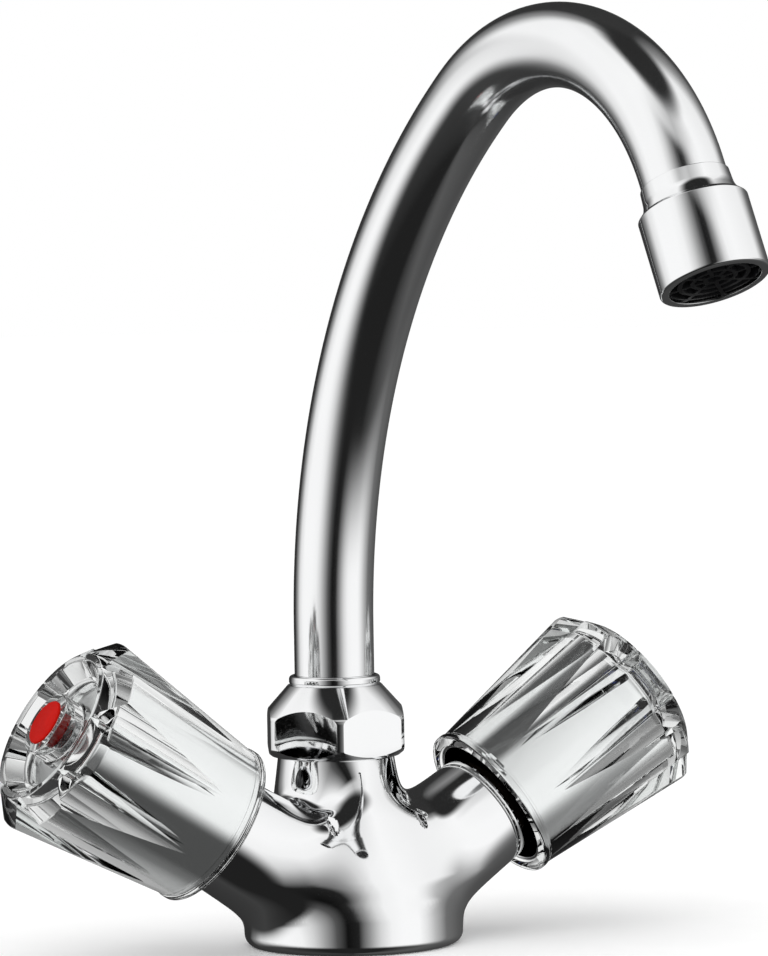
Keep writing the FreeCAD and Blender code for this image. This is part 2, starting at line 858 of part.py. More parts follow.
def handle_shell():
    """Clear fluted handle: lipped skirt, flared lobes, bevelled front, dish and boss."""
    lip_top = skirt_station + lip_height
    button_floor = button_face_station - button_cap_height - running_fit
    cavity_top = sleeve_front_station + running_fit
    screw_well_radius = screw_head_radius + loose_fit + running_fit
    blank = turned([
        (cavity_radius, skirt_station),
        (skirt_radius, skirt_station, edge_rounding),
        (skirt_radius, lip_top - lip_groove_width, edge_rounding / 2),
        (skirt_radius - lip_groove, lip_top - lip_groove_width),
        (skirt_radius - lip_groove, lip_top),
        (cone_start_radius, lip_top),
        (corner_radius, corner_station, edge_rounding),
        (front_radius, front_station, front_rounding),
        (front_radius - front_land, front_station, front_rounding),
        (dish_radius, dish_floor_station, dish_rounding),
        (boss_radius, dish_floor_station, boss_foot_rounding),
        (boss_radius, boss_top_station, boss_edge_rounding),
        (button_radius + running_fit, boss_top_station),
        (button_radius + running_fit, button_floor),
        (screw_well_radius, button_floor),
        (screw_well_radius, cavity_top),
        (cavity_radius, cavity_top),
    ])
    return blank.cut(around(flute_cutter(), lobe_count, 180.0 / lobe_count))


def handle_sleeve():
    """Chromed cup inside the clear handle, with the hub that takes the spline insert."""
    hub_floor = hub_start_station + insert_length + loose_fit
    return turned([
        (sleeve_bore_radius, sleeve_start_station),
        (sleeve_radius, sleeve_start_station),
        (sleeve_radius, sleeve_front_station, sleeve_rounding),
        (screw_radius + running_fit, sleeve_front_station),
        (screw_radius + running_fit, hub_floor),
        (insert_outer_radius + running_fit, hub_floor),
        (insert_outer_radius + running_fit, hub_start_station),
        (hub_outer_radius, hub_start_station),
        (hub_outer_radius, sleeve_front_station - sleeve_front_wall),
        (sleeve_bore_radius, sleeve_front_station - sleeve_front_wall, sleeve_rounding),
    ])


def spline_insert():
    """Brass bush between the hub and the spindle's splines."""
    return ring(spline_radius + running_fit, insert_outer_radius, hub_start_station,
                hub_start_station + insert_length)


def handle_screw():
    """Slotted cheese-head screw that holds the handle on the spindle."""
    head_low = sleeve_front_station + running_fit
    head_top = head_low + screw_head_height
    screw = turned([
        (0, head_low - screw_length),
        (screw_radius - thread_chamfer, head_low - screw_length),
        (screw_radius, head_low - screw_length + thread_chamfer),
        (screw_radius, head_low),
        (screw_head_radius, head_low),
        (screw_head_radius, head_top, edge_rounding),
        (0, head_top),
    ])
    return screw.cut(slot_block(screw_slot_width, head_top - screw_slot_depth,
                                head_top + overrun, screw_head_radius + overrun))


def index_button():
    """Coloured button with a low dome and a hollow stem in the boss of the handle."""
    cap_low = button_face_station - button_cap_height
    stem_low = cap_low - button_stem_length
    stem_bore_radius = button_stem_radius - button_stem_wall
    dome_radius = (button_radius ** 2 + button_dome ** 2) / (2 * button_dome)
    cap = turned([
        (0, stem_low + button_stem_depth),
        (stem_bore_radius, stem_low + button_stem_depth),
        (stem_bore_radius, stem_low),
        (button_stem_radius, stem_low),
        (button_stem_radius, cap_low),
        (button_radius, cap_low, button_rounding),
        (button_radius, button_face_station, button_rounding),
        (0, button_face_station),
    ])
    dome = Part.makeSphere(dome_radius, Vector(0, 0, button_face_station - dome_radius))
    return cap.common(dome)


HANDLE_PIECES = {
    "handle_shell": handle_shell,
    "handle_sleeve": handle_sleeve,
    "spline_insert": spline_insert,
    "handle_screw": handle_screw,
    "index_button": index_button,
    "spindle": spindle,
    "spindle_o_ring": spindle_o_ring,
    "circlip": circlip,
}

VALVE_PIECES = {
    "headwork": headwork,
    "headwork_seal": head_seal,
    "jumper": jumper,
    "valve_washer": valve_washer,
    "washer_screw": washer_screw,
}

SHARED_PIECES = {
    "body_casting": body_casting,
    "base_seal": base_seal,
    "union_nut": union_nut,
    "nut_ring": nut_ring,
    "slip_ring": slip_ring,
    "spout_tube": spout_tube,
    "spout_foot": spout_foot,
    "spout_o_rings": spout_o_rings,
    "outlet_adapter": outlet_adapter,
    "aerator_housing": aerator_housing,
    "aerator_washer": aerator_washer,
    "aerator_screen": aerator_screen,
    "aerator_insert": aerator_insert,
}


def export(name, shape):
    """Writes one piece to parts/ and reports its solids and volume."""
    shape.exportStep(os.path.join("parts", name + ".step"))
    valid = "valid" if shape.isValid() else "NOT VALID"
    print(f"{name}: {len(shape.Solids)} solid(s), {shape.Volume:.1f} mm3, {valid}")


def main():
    """Builds every piece and writes it in its place."""
    os.makedirs("parts", exist_ok=True)
    for name, build in SHARED_PIECES.items():
        export(name, build())
    sides = (("hot", -1, hot_handle_phase), ("cold", 1, cold_handle_phase))
    for name, build in HANDLE_PIECES.items():
        piece = build()
        for prefix, side, phase in sides:
            export(prefix + "_" + name, on_arm(piece, side, phase))
    for name, build in VALVE_PIECES.items():
        piece = build()
        for prefix, side, _ in sides:
            export(prefix + "_" + name, on_arm(piece, side))
    outlet = swung(Part.Vertex(outlet_point() + outlet_direction()
                               * (housing_start() + housing_length))).Point
    print("outlet centre", [round(value, 2) for value in outlet])


main()
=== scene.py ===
"""Looks of a kitchen mixer tap: swan-neck spout, Y-shaped casting and two clear fluted handles.

Sizes are in millimetres unless a name says otherwise, and each piece is brought to metres when
its mesh is finished. A piece that is turned on an axis is built along Z and then moved to its
place on the tap.
"""

from __future__ import annotations

import logging
import math
import sys
from dataclasses import dataclass
from enum import Enum
from typing import Callable, Sequence

import bmesh
import bpy
import numpy as np
from bmesh.types import BMEdge, BMesh, BMVert
from bpy.types import ID, Material, Mesh, Node, NodeSocket, NodeTree, Object
from mathutils import Matrix, Quaternion, Vector


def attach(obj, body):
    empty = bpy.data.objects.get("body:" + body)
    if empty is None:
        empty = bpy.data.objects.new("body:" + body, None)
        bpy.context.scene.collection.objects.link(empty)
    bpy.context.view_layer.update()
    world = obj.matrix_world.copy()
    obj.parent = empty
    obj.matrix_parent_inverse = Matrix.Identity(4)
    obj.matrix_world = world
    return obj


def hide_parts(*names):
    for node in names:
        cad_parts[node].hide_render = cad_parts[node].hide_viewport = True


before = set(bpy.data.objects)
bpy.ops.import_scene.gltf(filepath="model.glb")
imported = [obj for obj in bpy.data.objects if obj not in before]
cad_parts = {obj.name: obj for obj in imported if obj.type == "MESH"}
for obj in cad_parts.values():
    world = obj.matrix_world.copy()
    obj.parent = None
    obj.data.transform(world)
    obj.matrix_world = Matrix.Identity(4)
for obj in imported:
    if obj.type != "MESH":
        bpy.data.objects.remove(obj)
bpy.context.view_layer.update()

log = logging.getLogger("mixer_tap")

MM = 0.001
WELD = 1e-4
FULL_TURN = 2 * math.pi
UP = Vector((0, 0, 1))
WHITE = (1.0, 1.0, 1.0)
TINY = 1e-9
SHARP, CRISP = 28.0, 20.0  # degrees from which an edge is shaded as sharp
HOT_PHASE, COLD_PHASE = -10.0, 25.0  # degrees that each handle is turned at rest

Corner = tuple[float, ...]
Field = Callable[[np.ndarray], np.ndarray]


class Side(Enum):
    """The two arms of the tap."""

    HOT = -1
    COLD = 1

    @property
    def prefix(self) -> str:
        """First word of the names of the pieces on this arm."""
        return self.name.lower()


# Meshes


def closed_outward(bm: BMesh) -> BMesh:
    """Merges doubles and turns every face of a closed mesh outwards.

    Args:
        bm: The mesh to close.

    Returns:
        The same mesh.
    """
    bmesh.ops.remove_doubles(bm, verts=bm.verts, dist=WELD)
    bmesh.ops.recalc_face_normals(bm, faces=bm.faces)
    if bm.calc_volume(signed=True) < 0:
        bmesh.ops.reverse_faces(bm, faces=bm.faces)
    return bm


def profile(corners: Sequence[Corner], closed: bool, facet: float = 10.0) -> BMesh:
    """Wire in the XZ plane with rounded corners.

    Args:
        corners: Radius, station and, where the corner is rounded, its radius.
        closed: Whether the last corner joins the first.
        facet: Degrees that each edge of a rounded corner takes up.

    Returns:
        A mesh of vertices and edges.
    """
    bm = bmesh.new()
    verts = [bm.verts.new((corner[0], 0.0, corner[1])) for corner in corners]
    count = len(verts)
    for i in range(count if closed else count - 1):
        bm.edges.new((verts[i], verts[(i + 1) % count]))
    for vert, corner in zip(verts, corners):
        if len(corner) < 3:
            continue
        arms = [edge.other_vert(vert).co - vert.co for edge in vert.link_edges]
        half = arms[0].angle(arms[1]) / 2
        turn = math.pi - 2 * half
        bmesh.ops.bevel(bm, geom=[vert], affect="VERTICES", offset_type="OFFSET",
                        offset=corner[2] / math.tan(half), profile=0.5, material=-1,
                        segments=max(2, math.ceil(math.degrees(turn) / facet)))
    return bm


def turned(corners: Sequence[Corner], steps: int = 144) -> BMesh:
    """Solid turned about Z from a half section.

    Args:
        corners: Corners of the section, closed by itself or by the axis.
        steps: Facets round the axis.

    Returns:
        The closed mesh.
    """
    on_axis = corners[0][0] == 0 and corners[-1][0] == 0
    bm = profile(corners, closed=not on_axis)
    bmesh.ops.spin(bm, geom=bm.verts[:] + bm.edges[:], cent=(0, 0, 0), axis=UP,
                   angle=FULL_TURN, steps=steps, use_merge=True)
    return closed_outward(bm)


def moved(bm: BMesh, matrix: Matrix) -> BMesh:
    """The mesh after a transform."""
    bmesh.ops.transform(bm, matrix=matrix, verts=bm.verts)
    return bm


def edges_of(items: Sequence[object]) -> list[BMEdge]:
    """The edges among an operator's results."""
    return [item for item in items if isinstance(item, BMEdge)]


def verts_of(items: Sequence[object]) -> list[BMVert]:
    """The vertices among an operator's results."""
    return [item for item in items if isinstance(item, BMVert)]


def sliced(bm: BMesh, point: Vector, normal: Vector) -> list[BMEdge]:
    """Cuts off all that lies beyond a plane.

    Args:
        bm: The mesh.
        point: A point on the plane.
        normal: The plane's normal, on the side that goes.

    Returns:
        The edges of the open rim.
    """
    cut = bmesh.ops.bisect_plane(bm, geom=bm.verts[:] + bm.edges[:] + bm.faces[:], dist=WELD,
                                 plane_co=point, plane_no=normal, clear_outer=True)
    return edges_of(cut["geom_cut"])


def carried(bm: BMesh, rim: Sequence[BMEdge]) -> tuple[list[BMEdge], list[BMVert]]:
    """Extrudes a ring of edges in place and returns the new ring's edges and vertices."""
    verts = verts_of(bmesh.ops.extrude_edge_only(bm, edges=rim)["geom"])
    known = set(verts)
    edges = {edge for vert in verts for edge in vert.link_edges
             if edge.verts[0] in known and edge.verts[1] in known}
    return list(edges), verts


def meshed(name: str, bm: BMesh) -> Mesh:
    """Mesh data made from a mesh under construction, which is freed."""
    mesh = bpy.data.meshes.new(name)
    bm.to_mesh(mesh)
    bm.free()
    return mesh


def placed(name: str, data: ID) -> Object:
    """New object in the scene for a mesh, a camera or a lamp."""
    obj = bpy.data.objects.new(name, data)
    bpy.context.scene.collection.objects.link(obj)
    return obj


def joined(parts: Sequence[BMesh]) -> BMesh:
    """One mesh that holds several, which are freed."""
    whole = bmesh.new()
    for part in parts:
        mesh = meshed("part", part)
        whole.from_mesh(mesh)
        bpy.data.meshes.remove(mesh)
    return whole


def workpiece(bm: BMesh) -> Object:
    """Object for a mesh that a modifier works on, in millimetres."""
    return placed("workpiece", meshed("workpiece", bm))


def taken_up(obj: Object) -> BMesh:
    """Mesh of an object after its modifiers; the object is removed."""
    graph = bpy.context.evaluated_depsgraph_get()
    mesh = bpy.data.meshes.new_from_object(obj.evaluated_get(graph))
    bm = bmesh.new()
    bm.from_mesh(mesh)
    bpy.data.meshes.remove(mesh)
    bpy.data.meshes.remove(obj.data)
    return bm


def stepped(*marks: float) -> list[Corner]:
    """Corners of a stepped section.

    Args:
        marks: A radius and a station by turns; each makes a corner with the one before it.

    Returns:
        Radius and station of each corner.
    """
    return [(first, second) if i % 2 == 0 else (second, first)
            for i, (first, second) in enumerate(zip(marks, marks[1:]))]


def carved(bm: BMesh, tools: Sequence[BMesh]) -> BMesh:
    """Mesh with the tools cut out of it.

    Args:
        bm: The blank.
        tools: Closed meshes that don't cross each other.

    Returns:
        The cut mesh.
    """
    blank, cutter = workpiece(bm), workpiece(joined(tools))
    cut = blank.modifiers.new("cut", "BOOLEAN")
    cut.operation, cut.solver, cut.object = "DIFFERENCE", "EXACT", cutter
    result = taken_up(blank)
    bpy.data.meshes.remove(cutter.data)
    return result


def finished(name: str, bm: BMesh, finish: "Finish", body: str,
             sharp: float = SHARP) -> Object:
    """Turns a mesh in millimetres into a piece that stands for the CAD node of its name.

    Args:
        name: Name of the piece, which is also the node's.
        bm: Its mesh, in place on the tap.
        finish: What it is made of.
        body: CAD body that it moves with.
        sharp: Angle in degrees from which an edge is shaded as sharp.

    Returns:
        The finished object, at the origin.
    """
    bmesh.ops.scale(bm, vec=(MM, MM, MM), verts=bm.verts)
    for face in bm.faces:
        face.smooth = True
    for edge in bm.edges:
        edge.smooth = edge.is_manifold and edge.calc_face_angle() < math.radians(sharp)
    mesh = meshed(name + "_looks", bm)
    obj = placed(name + "_looks", mesh)
    mesh.materials.append(finish.material())
    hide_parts(name)
    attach(obj, body)
    log.info("%s: %d faces, on %s", obj.name, len(mesh.polygons), body)
    return obj


# Finishes


GLOSS_BAND = (0.3, 0.7)  # part of a noise's range that is spread over a range of gloss
COLOUR_BAND = (0.32, 0.68)  # and over a range of colours


class Graph:
    """Node tree with short calls that add and fill its nodes."""

    def __init__(self, tree: NodeTree) -> None:
        """Keeps the tree."""
        self.tree = tree

    def fill(self, node: Node, values: dict[str | int, object]) -> None:
        """Sets inputs of a node, and links those whose value is a socket."""
        for name, value in values.items():
            if isinstance(value, NodeSocket):
                self.tree.links.new(value, node.inputs[name])
            else:
                node.inputs[name].default_value = value

    def add(self, kind: str, values: dict[str | int, object] | None = None) -> Node:
        """New shader node of a kind, with its inputs filled."""
        node = self.tree.nodes.new("ShaderNode" + kind)
        self.fill(node, values or {})
        return node

    def ramp(self, factor: NodeSocket, stops: Sequence[tuple[float, Sequence[float]]]
             ) -> NodeSocket:
        """Colour that changes with a factor.

        Args:
            factor: The factor's socket.
            stops: Place and colour of each stop, in order.

        Returns:
            The colour socket.
        """
        node = self.add("ValToRGB", {"Fac": factor})
        elements = node.color_ramp.elements
        for _ in stops[2:]:
            elements.new(0.5)
        for element, (place, colour) in zip(elements, stops):
            element.position, element.color = place, (*colour, 1.0)
        return node.outputs["Color"]


class Bench(Graph):
    """Node tree of one material."""

    def __init__(self, name: str) -> None:
        """Starts a material of that name."""
        self.material = bpy.data.materials.new(name)
        self.material.use_nodes = True
        super().__init__(self.material.node_tree)
        self.shader = self.tree.nodes["Principled BSDF"]
        self.place = self.add("TexCoord").outputs["Object"]

    def set(self, **values: object) -> None:
        """Fills inputs of the shader; a name's underscores stand for spaces."""
        self.fill(self.shader, {name.replace("_", " "): value for name, value in values.items()})

    def noise(self, scale: float, detail: float = 3.0, stretch: Sequence[float] = (1, 1, 1),
              distortion: float = 0.0) -> NodeSocket:
        """Noise on the object's own coordinates.

        Args:
            scale: Waves per metre.
            detail: Octaves.
            stretch: Factor of the coordinates along X, Y and Z.
            distortion: How far the pattern is stirred.

        Returns:
            The factor socket.
        """
        mapping = self.add("Mapping", {"Vector": self.place, "Scale": stretch})
        return self.add("TexNoise", {"Vector": mapping.outputs["Vector"], "Scale": scale,
                                     "Detail": detail, "Distortion": distortion}).outputs["Fac"]

    def spread(self, source: NodeSocket, low: float, width: float) -> NodeSocket:
        """The middle band of a noise, spread over a width from low upwards."""
        first, last = GLOSS_BAND
        return self.add("MapRange", {"Value": source, "From Min": first, "From Max": last,
                                     "To Min": low, "To Max": low + width}).outputs["Result"]

    def blend(self, factor: NodeSocket, dark: Sequence[float],
              light: Sequence[float]) -> NodeSocket:
        """Colour that runs from dark to light over the middle band of a noise."""
        return self.ramp(factor, list(zip(COLOUR_BAND, (dark, light))))

    def bump(self, height: NodeSocket, depth: float, below: NodeSocket | None = None) -> NodeSocket:
        """Relief of a given depth in millimetres, on top of another if one is given."""
        values = {"Strength": 1.0, "Distance": depth * MM, "Height": height}
        if below is not None:
            values["Normal"] = below
        return self.add("Bump", values).outputs["Normal"]


@dataclass(frozen=True)
class Finish:
    """What a surface is made of, with its colour and its gloss."""

    name: str
    colour: tuple[float, float, float]
    roughness: float = 0.3

    def material(self) -> Material:
        """The material of this finish, made on first use."""
        found = bpy.data.materials.get(self.name)
        if found is not None:
            return found
        bench = Bench(self.name)
        self.dress(bench)
        return bench.material

    def dress(self, bench: Bench) -> None:
        """Adds the finish's nodes to a new material."""
        raise NotImplementedError

    def shade(self, factor: float) -> tuple[float, float, float]:
        """The finish's colour, darker or lighter by a factor."""
        return tuple(min(1.0, part * factor) for part in self.colour)


@dataclass(frozen=True)
class Chrome(Finish):
    """Chrome plate: faint smudges, fine polishing grain and the slow waves of a buffed skin."""

    roughness: float = 0.05
    smudge: float = 0.03
    grain: float = 0.0004
    waviness: float = 0.004
    wave_scale: float = 55.0
    smudge_scale: float = 38.0
    smudge_stir: float = 0.4
    smudge_shade: float = 0.975
    grain_scale: float = 2600.0

    def dress(self, bench: Bench) -> None:
        """Adds plate colour, gloss, buffing waves and grain."""
        smudges = bench.noise(self.smudge_scale, detail=4.0, distortion=self.smudge_stir)
        waves = bench.bump(bench.noise(self.wave_scale, detail=1.0), self.waviness)
        bench.set(Metallic=1.0,
                  Base_Color=bench.blend(smudges, self.shade(self.smudge_shade), self.colour),
                  Roughness=bench.spread(smudges, self.roughness, self.smudge),
                  Normal=bench.bump(bench.noise(self.grain_scale, detail=2.0), self.grain, waves))


@dataclass(frozen=True)
class ClearMoulding(Finish):
    """Clear polished acrylic with the slow waves of a moulded skin."""

    roughness: float = 0.0
    waviness: float = 0.01
    refraction: float = 1.49
    flow_scale: float = 70.0
    flow_shade: float = 0.99
    haze: float = 0.02
    haze_scale: float = 400.0

    def dress(self, bench: Bench) -> None:
        """Adds a clear body and a moulded surface."""
        flow = bench.noise(self.flow_scale, detail=1.0)
        haze = bench.noise(self.haze_scale, detail=2.0)
        bench.set(Transmission_Weight=1.0, IOR=self.refraction,
                  Base_Color=bench.blend(flow, self.shade(self.flow_shade), self.colour),
                  Roughness=bench.spread(haze, self.roughness, self.haze),
                  Normal=bench.bump(flow, self.waviness))


@dataclass(frozen=True)
class Moulding(Finish):
    """Opaque plastic or rubber: flow marks, a moulded grain and slight changes of colour."""

    grain_scale: float = 1800.0
    grain: float = 0.004
    gloss_spread: float = 0.08
    specular: float = 0.5
    flow_scale: float = 120.0
    flow_stir: float = 0.6
    flow_shades: tuple[float, float] = (0.86, 1.06)

    def dress(self, bench: Bench) -> None:
        """Adds body colour, gloss and moulded grain."""
        flow = bench.noise(self.flow_scale, distortion=self.flow_stir)
        fine = bench.noise(self.grain_scale)
        dark, light = (self.shade(factor) for factor in self.flow_shades)
        bench.set(Specular_IOR_Level=self.specular, Base_Color=bench.blend(flow, dark, light),
                  Roughness=bench.spread(fine, self.roughness, self.gloss_spread),
                  Normal=bench.bump(fine, self.grain))


@dataclass(frozen=True)
class Turned(Finish):
    """Bare turned metal: tool lines of uneven gloss and a little tarnish."""

    lines: float = 0.003
    line_scale: float = 900.0
    line_stretch: tuple[float, float, float] = (0.25, 1.0, 1.0)
    tarnish_scale: float = 160.0
    tarnish_stir: float = 0.8
    tarnish_shades: tuple[float, float] = (0.72, 1.05)
    gloss_spread: float = 0.15

    def dress(self, bench: Bench) -> None:
        """Adds metal colour, tarnish and tool lines."""
        tarnish = bench.noise(self.tarnish_scale, detail=5.0, distortion=self.tarnish_stir)
        lines = bench.noise(self.line_scale, detail=2.0, stretch=self.line_stretch)
        dark, light = (self.shade(factor) for factor in self.tarnish_shades)
        bench.set(Metallic=1.0, Base_Color=bench.blend(tarnish, dark, light),
                  Roughness=bench.spread(lines, self.roughness, self.gloss_spread),
                  Normal=bench.bump(lines, self.lines))


CASTING_CHROME = Chrome("Casting_chrome", (0.945, 0.95, 0.955), 0.035, 0.025)
NUT_CHROME = Chrome("Nut_chrome", (0.945, 0.95, 0.955), 0.04, 0.03)
SPOUT_CHROME = Chrome("Spout_chrome", (0.94, 0.945, 0.95), 0.095, 0.04, 0.0012, 0.002)
OUTLET_CHROME = Chrome("Outlet_chrome", (0.94, 0.945, 0.95), 0.04, 0.03)
SLEEVE_CHROME = Chrome("Sleeve_chrome", (0.95, 0.955, 0.96), 0.03, 0.02, 0.0001)
CLEAR_ACRYLIC = ClearMoulding("Clear_acrylic", (0.985, 0.995, 0.99))
RED_BUTTON = Moulding("Red_button", (0.46, 0.005, 0.002), 0.35, specular=0.04)
BLUE_BUTTON = Moulding("Blue_button", (0.008, 0.05, 0.38), 0.35, specular=0.04)
BRASS = Turned("Turned_brass", (0.72, 0.52, 0.24), 0.22)
# Headwork brass painted nearly black: painted shade of the dark gap between the arm's end and the
# handle's skirt
SHADE_DARKENED_BRASS = Turned("Aged_brass", (0.042, 0.031, 0.022), 0.4)
BRIGHT_STEEL = Turned("Bright_steel", (0.62, 0.63, 0.64), 0.18)
SPRING_STEEL = Turned("Spring_steel", (0.46, 0.47, 0.49), 0.25)
BLACK_RUBBER = Moulding("Black_rubber", (0.018, 0.018, 0.018), 0.55, 900.0, 0.01)
FIBRE = Moulding("Fibre", (0.10, 0.035, 0.025), 0.75, 700.0, 0.02)
WHITE_PLASTIC = Moulding("White_plastic", (0.82, 0.82, 0.79), 0.4)
BLACK_PLASTIC = Moulding("Black_plastic", (0.006, 0.006, 0.007), 0.5, specular=0.3)

NODE_FINISHES: dict[str, Finish] = {
    "slip_ring": WHITE_PLASTIC,
    "spout_foot": BRASS,
    "spout_o_rings": BLACK_RUBBER,
    "base_seal": BLACK_RUBBER,
    "aerator_washer": BLACK_RUBBER,
    "aerator_screen": BLACK_PLASTIC,
    "aerator_insert": BLACK_PLASTIC,
    "spline_insert": BRASS,
    "handle_screw": BRIGHT_STEEL,
    "spindle": BRASS,
    "spindle_o_ring": BLACK_RUBBER,
    "circlip": SPRING_STEEL,
    # brass painted nearly black as painted shade of the gap that the headwork sits in
    "headwork": SHADE_DARKENED_BRASS,
    "headwork_seal": FIBRE,
    "jumper": BRASS,
    "valve_washer": BLACK_RUBBER,
    "washer_screw": BRASS,
}


# Where the pieces stand


@dataclass(frozen=True)
class Layout:
    """Axes of the arms, the neck and the swung spout."""

    arm_elevation: float = 32.5
    arm_crossing_height: float = 6.5
    neck_set_back: float = 7.5
    spout_swing: float = 6.6

    def arm(self, side: Side, phase: float = 0.0) -> Matrix:
        """Takes a piece built along Z to the arm of one side, turned by a phase in degrees."""
        lean = Matrix.Rotation(side.value * math.radians(90 - self.arm_elevation), 4, "Y")
        spin = Matrix.Rotation(math.radians(phase), 4, "Z")
        return Matrix.Translation((0, 0, self.arm_crossing_height)) @ lean @ spin

    def neck(self) -> Matrix:
        """Takes a piece built about Z to the axis of the neck."""
        return Matrix.Translation((0, self.neck_set_back, 0))

    def spout(self) -> Matrix:
        """Takes a piece built in the plane x = 0 to the swung spout."""
        return self.neck() @ Matrix.Rotation(math.radians(self.spout_swing), 4, "Z")


LAYOUT = Layout()


# Casting

SETTLE_STEP, SHADE_STEP = 0.02, 0.05  # millimetres over which a field's slope is taken
LEAST_SLOPE = 0.05  # square of the slope below which a point moves no further for it
SKIN_REACH = 0.05  # millimetres from the blended skin within which a face belongs to it
SKIN_FACING = 0.97  # cosine of the angle to the skin's normal within which it does


class TurnedField:
    """Signed distance to a turned form, for any points."""

    def __init__(self, corners: Sequence[Corner], place: Matrix) -> None:
        """Keeps the rounded section and the way back to the form's own axis.

        Args:
            corners: Half section, as for a turned mesh.
            place: Where the form stands.
        """
        self.corners = corners
        self.place = place
        wire = profile(corners, closed=corners[0][0] != 0 or corners[-1][0] != 0, facet=3.0)
        edges = [(edge.verts[0].co.xz, edge.verts[1].co.xz) for edge in wire.edges
                 if edge.calc_length() > WELD]
        self.starts = np.array([edge[0] for edge in edges])
        self.spans = np.array([edge[1] for edge in edges]) - self.starts
        wire.free()
        back = np.array(place.inverted())
        self.turn, self.shift = back[:3, :3], back[:3, 3]

    def mesh(self, facets: int = 96) -> BMesh:
        """The form as a closed mesh in its place."""
        return moved(turned(self.corners, facets), self.place)

    def __call__(self, points: np.ndarray) -> np.ndarray:
        """Distance of each point, below zero inside."""
        local = points @ self.turn.T + self.shift
        flat = np.stack([np.hypot(local[:, 0], local[:, 1]), local[:, 2]], axis=1)
        nearest = np.full(len(flat), np.inf)
        crossings = np.zeros(len(flat), int)
        for start, span in zip(self.starts, self.spans):
            offset = flat - start
            along = np.clip(offset @ span / (span @ span), 0.0, 1.0)
            nearest = np.minimum(nearest, np.linalg.norm(offset - along[:, None] * span, axis=1))
            spans_height = (offset[:, 1] >= 0) != (offset[:, 1] >= span[1])
            if abs(span[1]) > TINY:
                reach = span[0] * offset[:, 1] / span[1]
                crossings += spans_height & (offset[:, 0] < reach)
        return np.where(crossings % 2 == 1, -nearest, nearest)


def eased(values: np.ndarray, start: float, full: float) -> np.ndarray:
    """Rises smoothly from 0 at the start to 1 at the full value."""
    part = np.clip((values - start) / (full - start), 0.0, 1.0)
    return part * part * (3 - 2 * part)


def melted(distances: Sequence[np.ndarray], softness: np.ndarray) -> np.ndarray:
    """Least of several distances, with the hollows between the forms filled smoothly.

    Args:
        distances: Distance of each point to each form.
        softness: How far the forms melt into each other at each point, in millimetres.

    Returns:
        Distance of each point to the melted form.
    """
    nearest = np.minimum.reduce(distances)
    total = sum(np.exp((nearest - distance) / softness) for distance in distances)
    return nearest - softness * np.log(total)


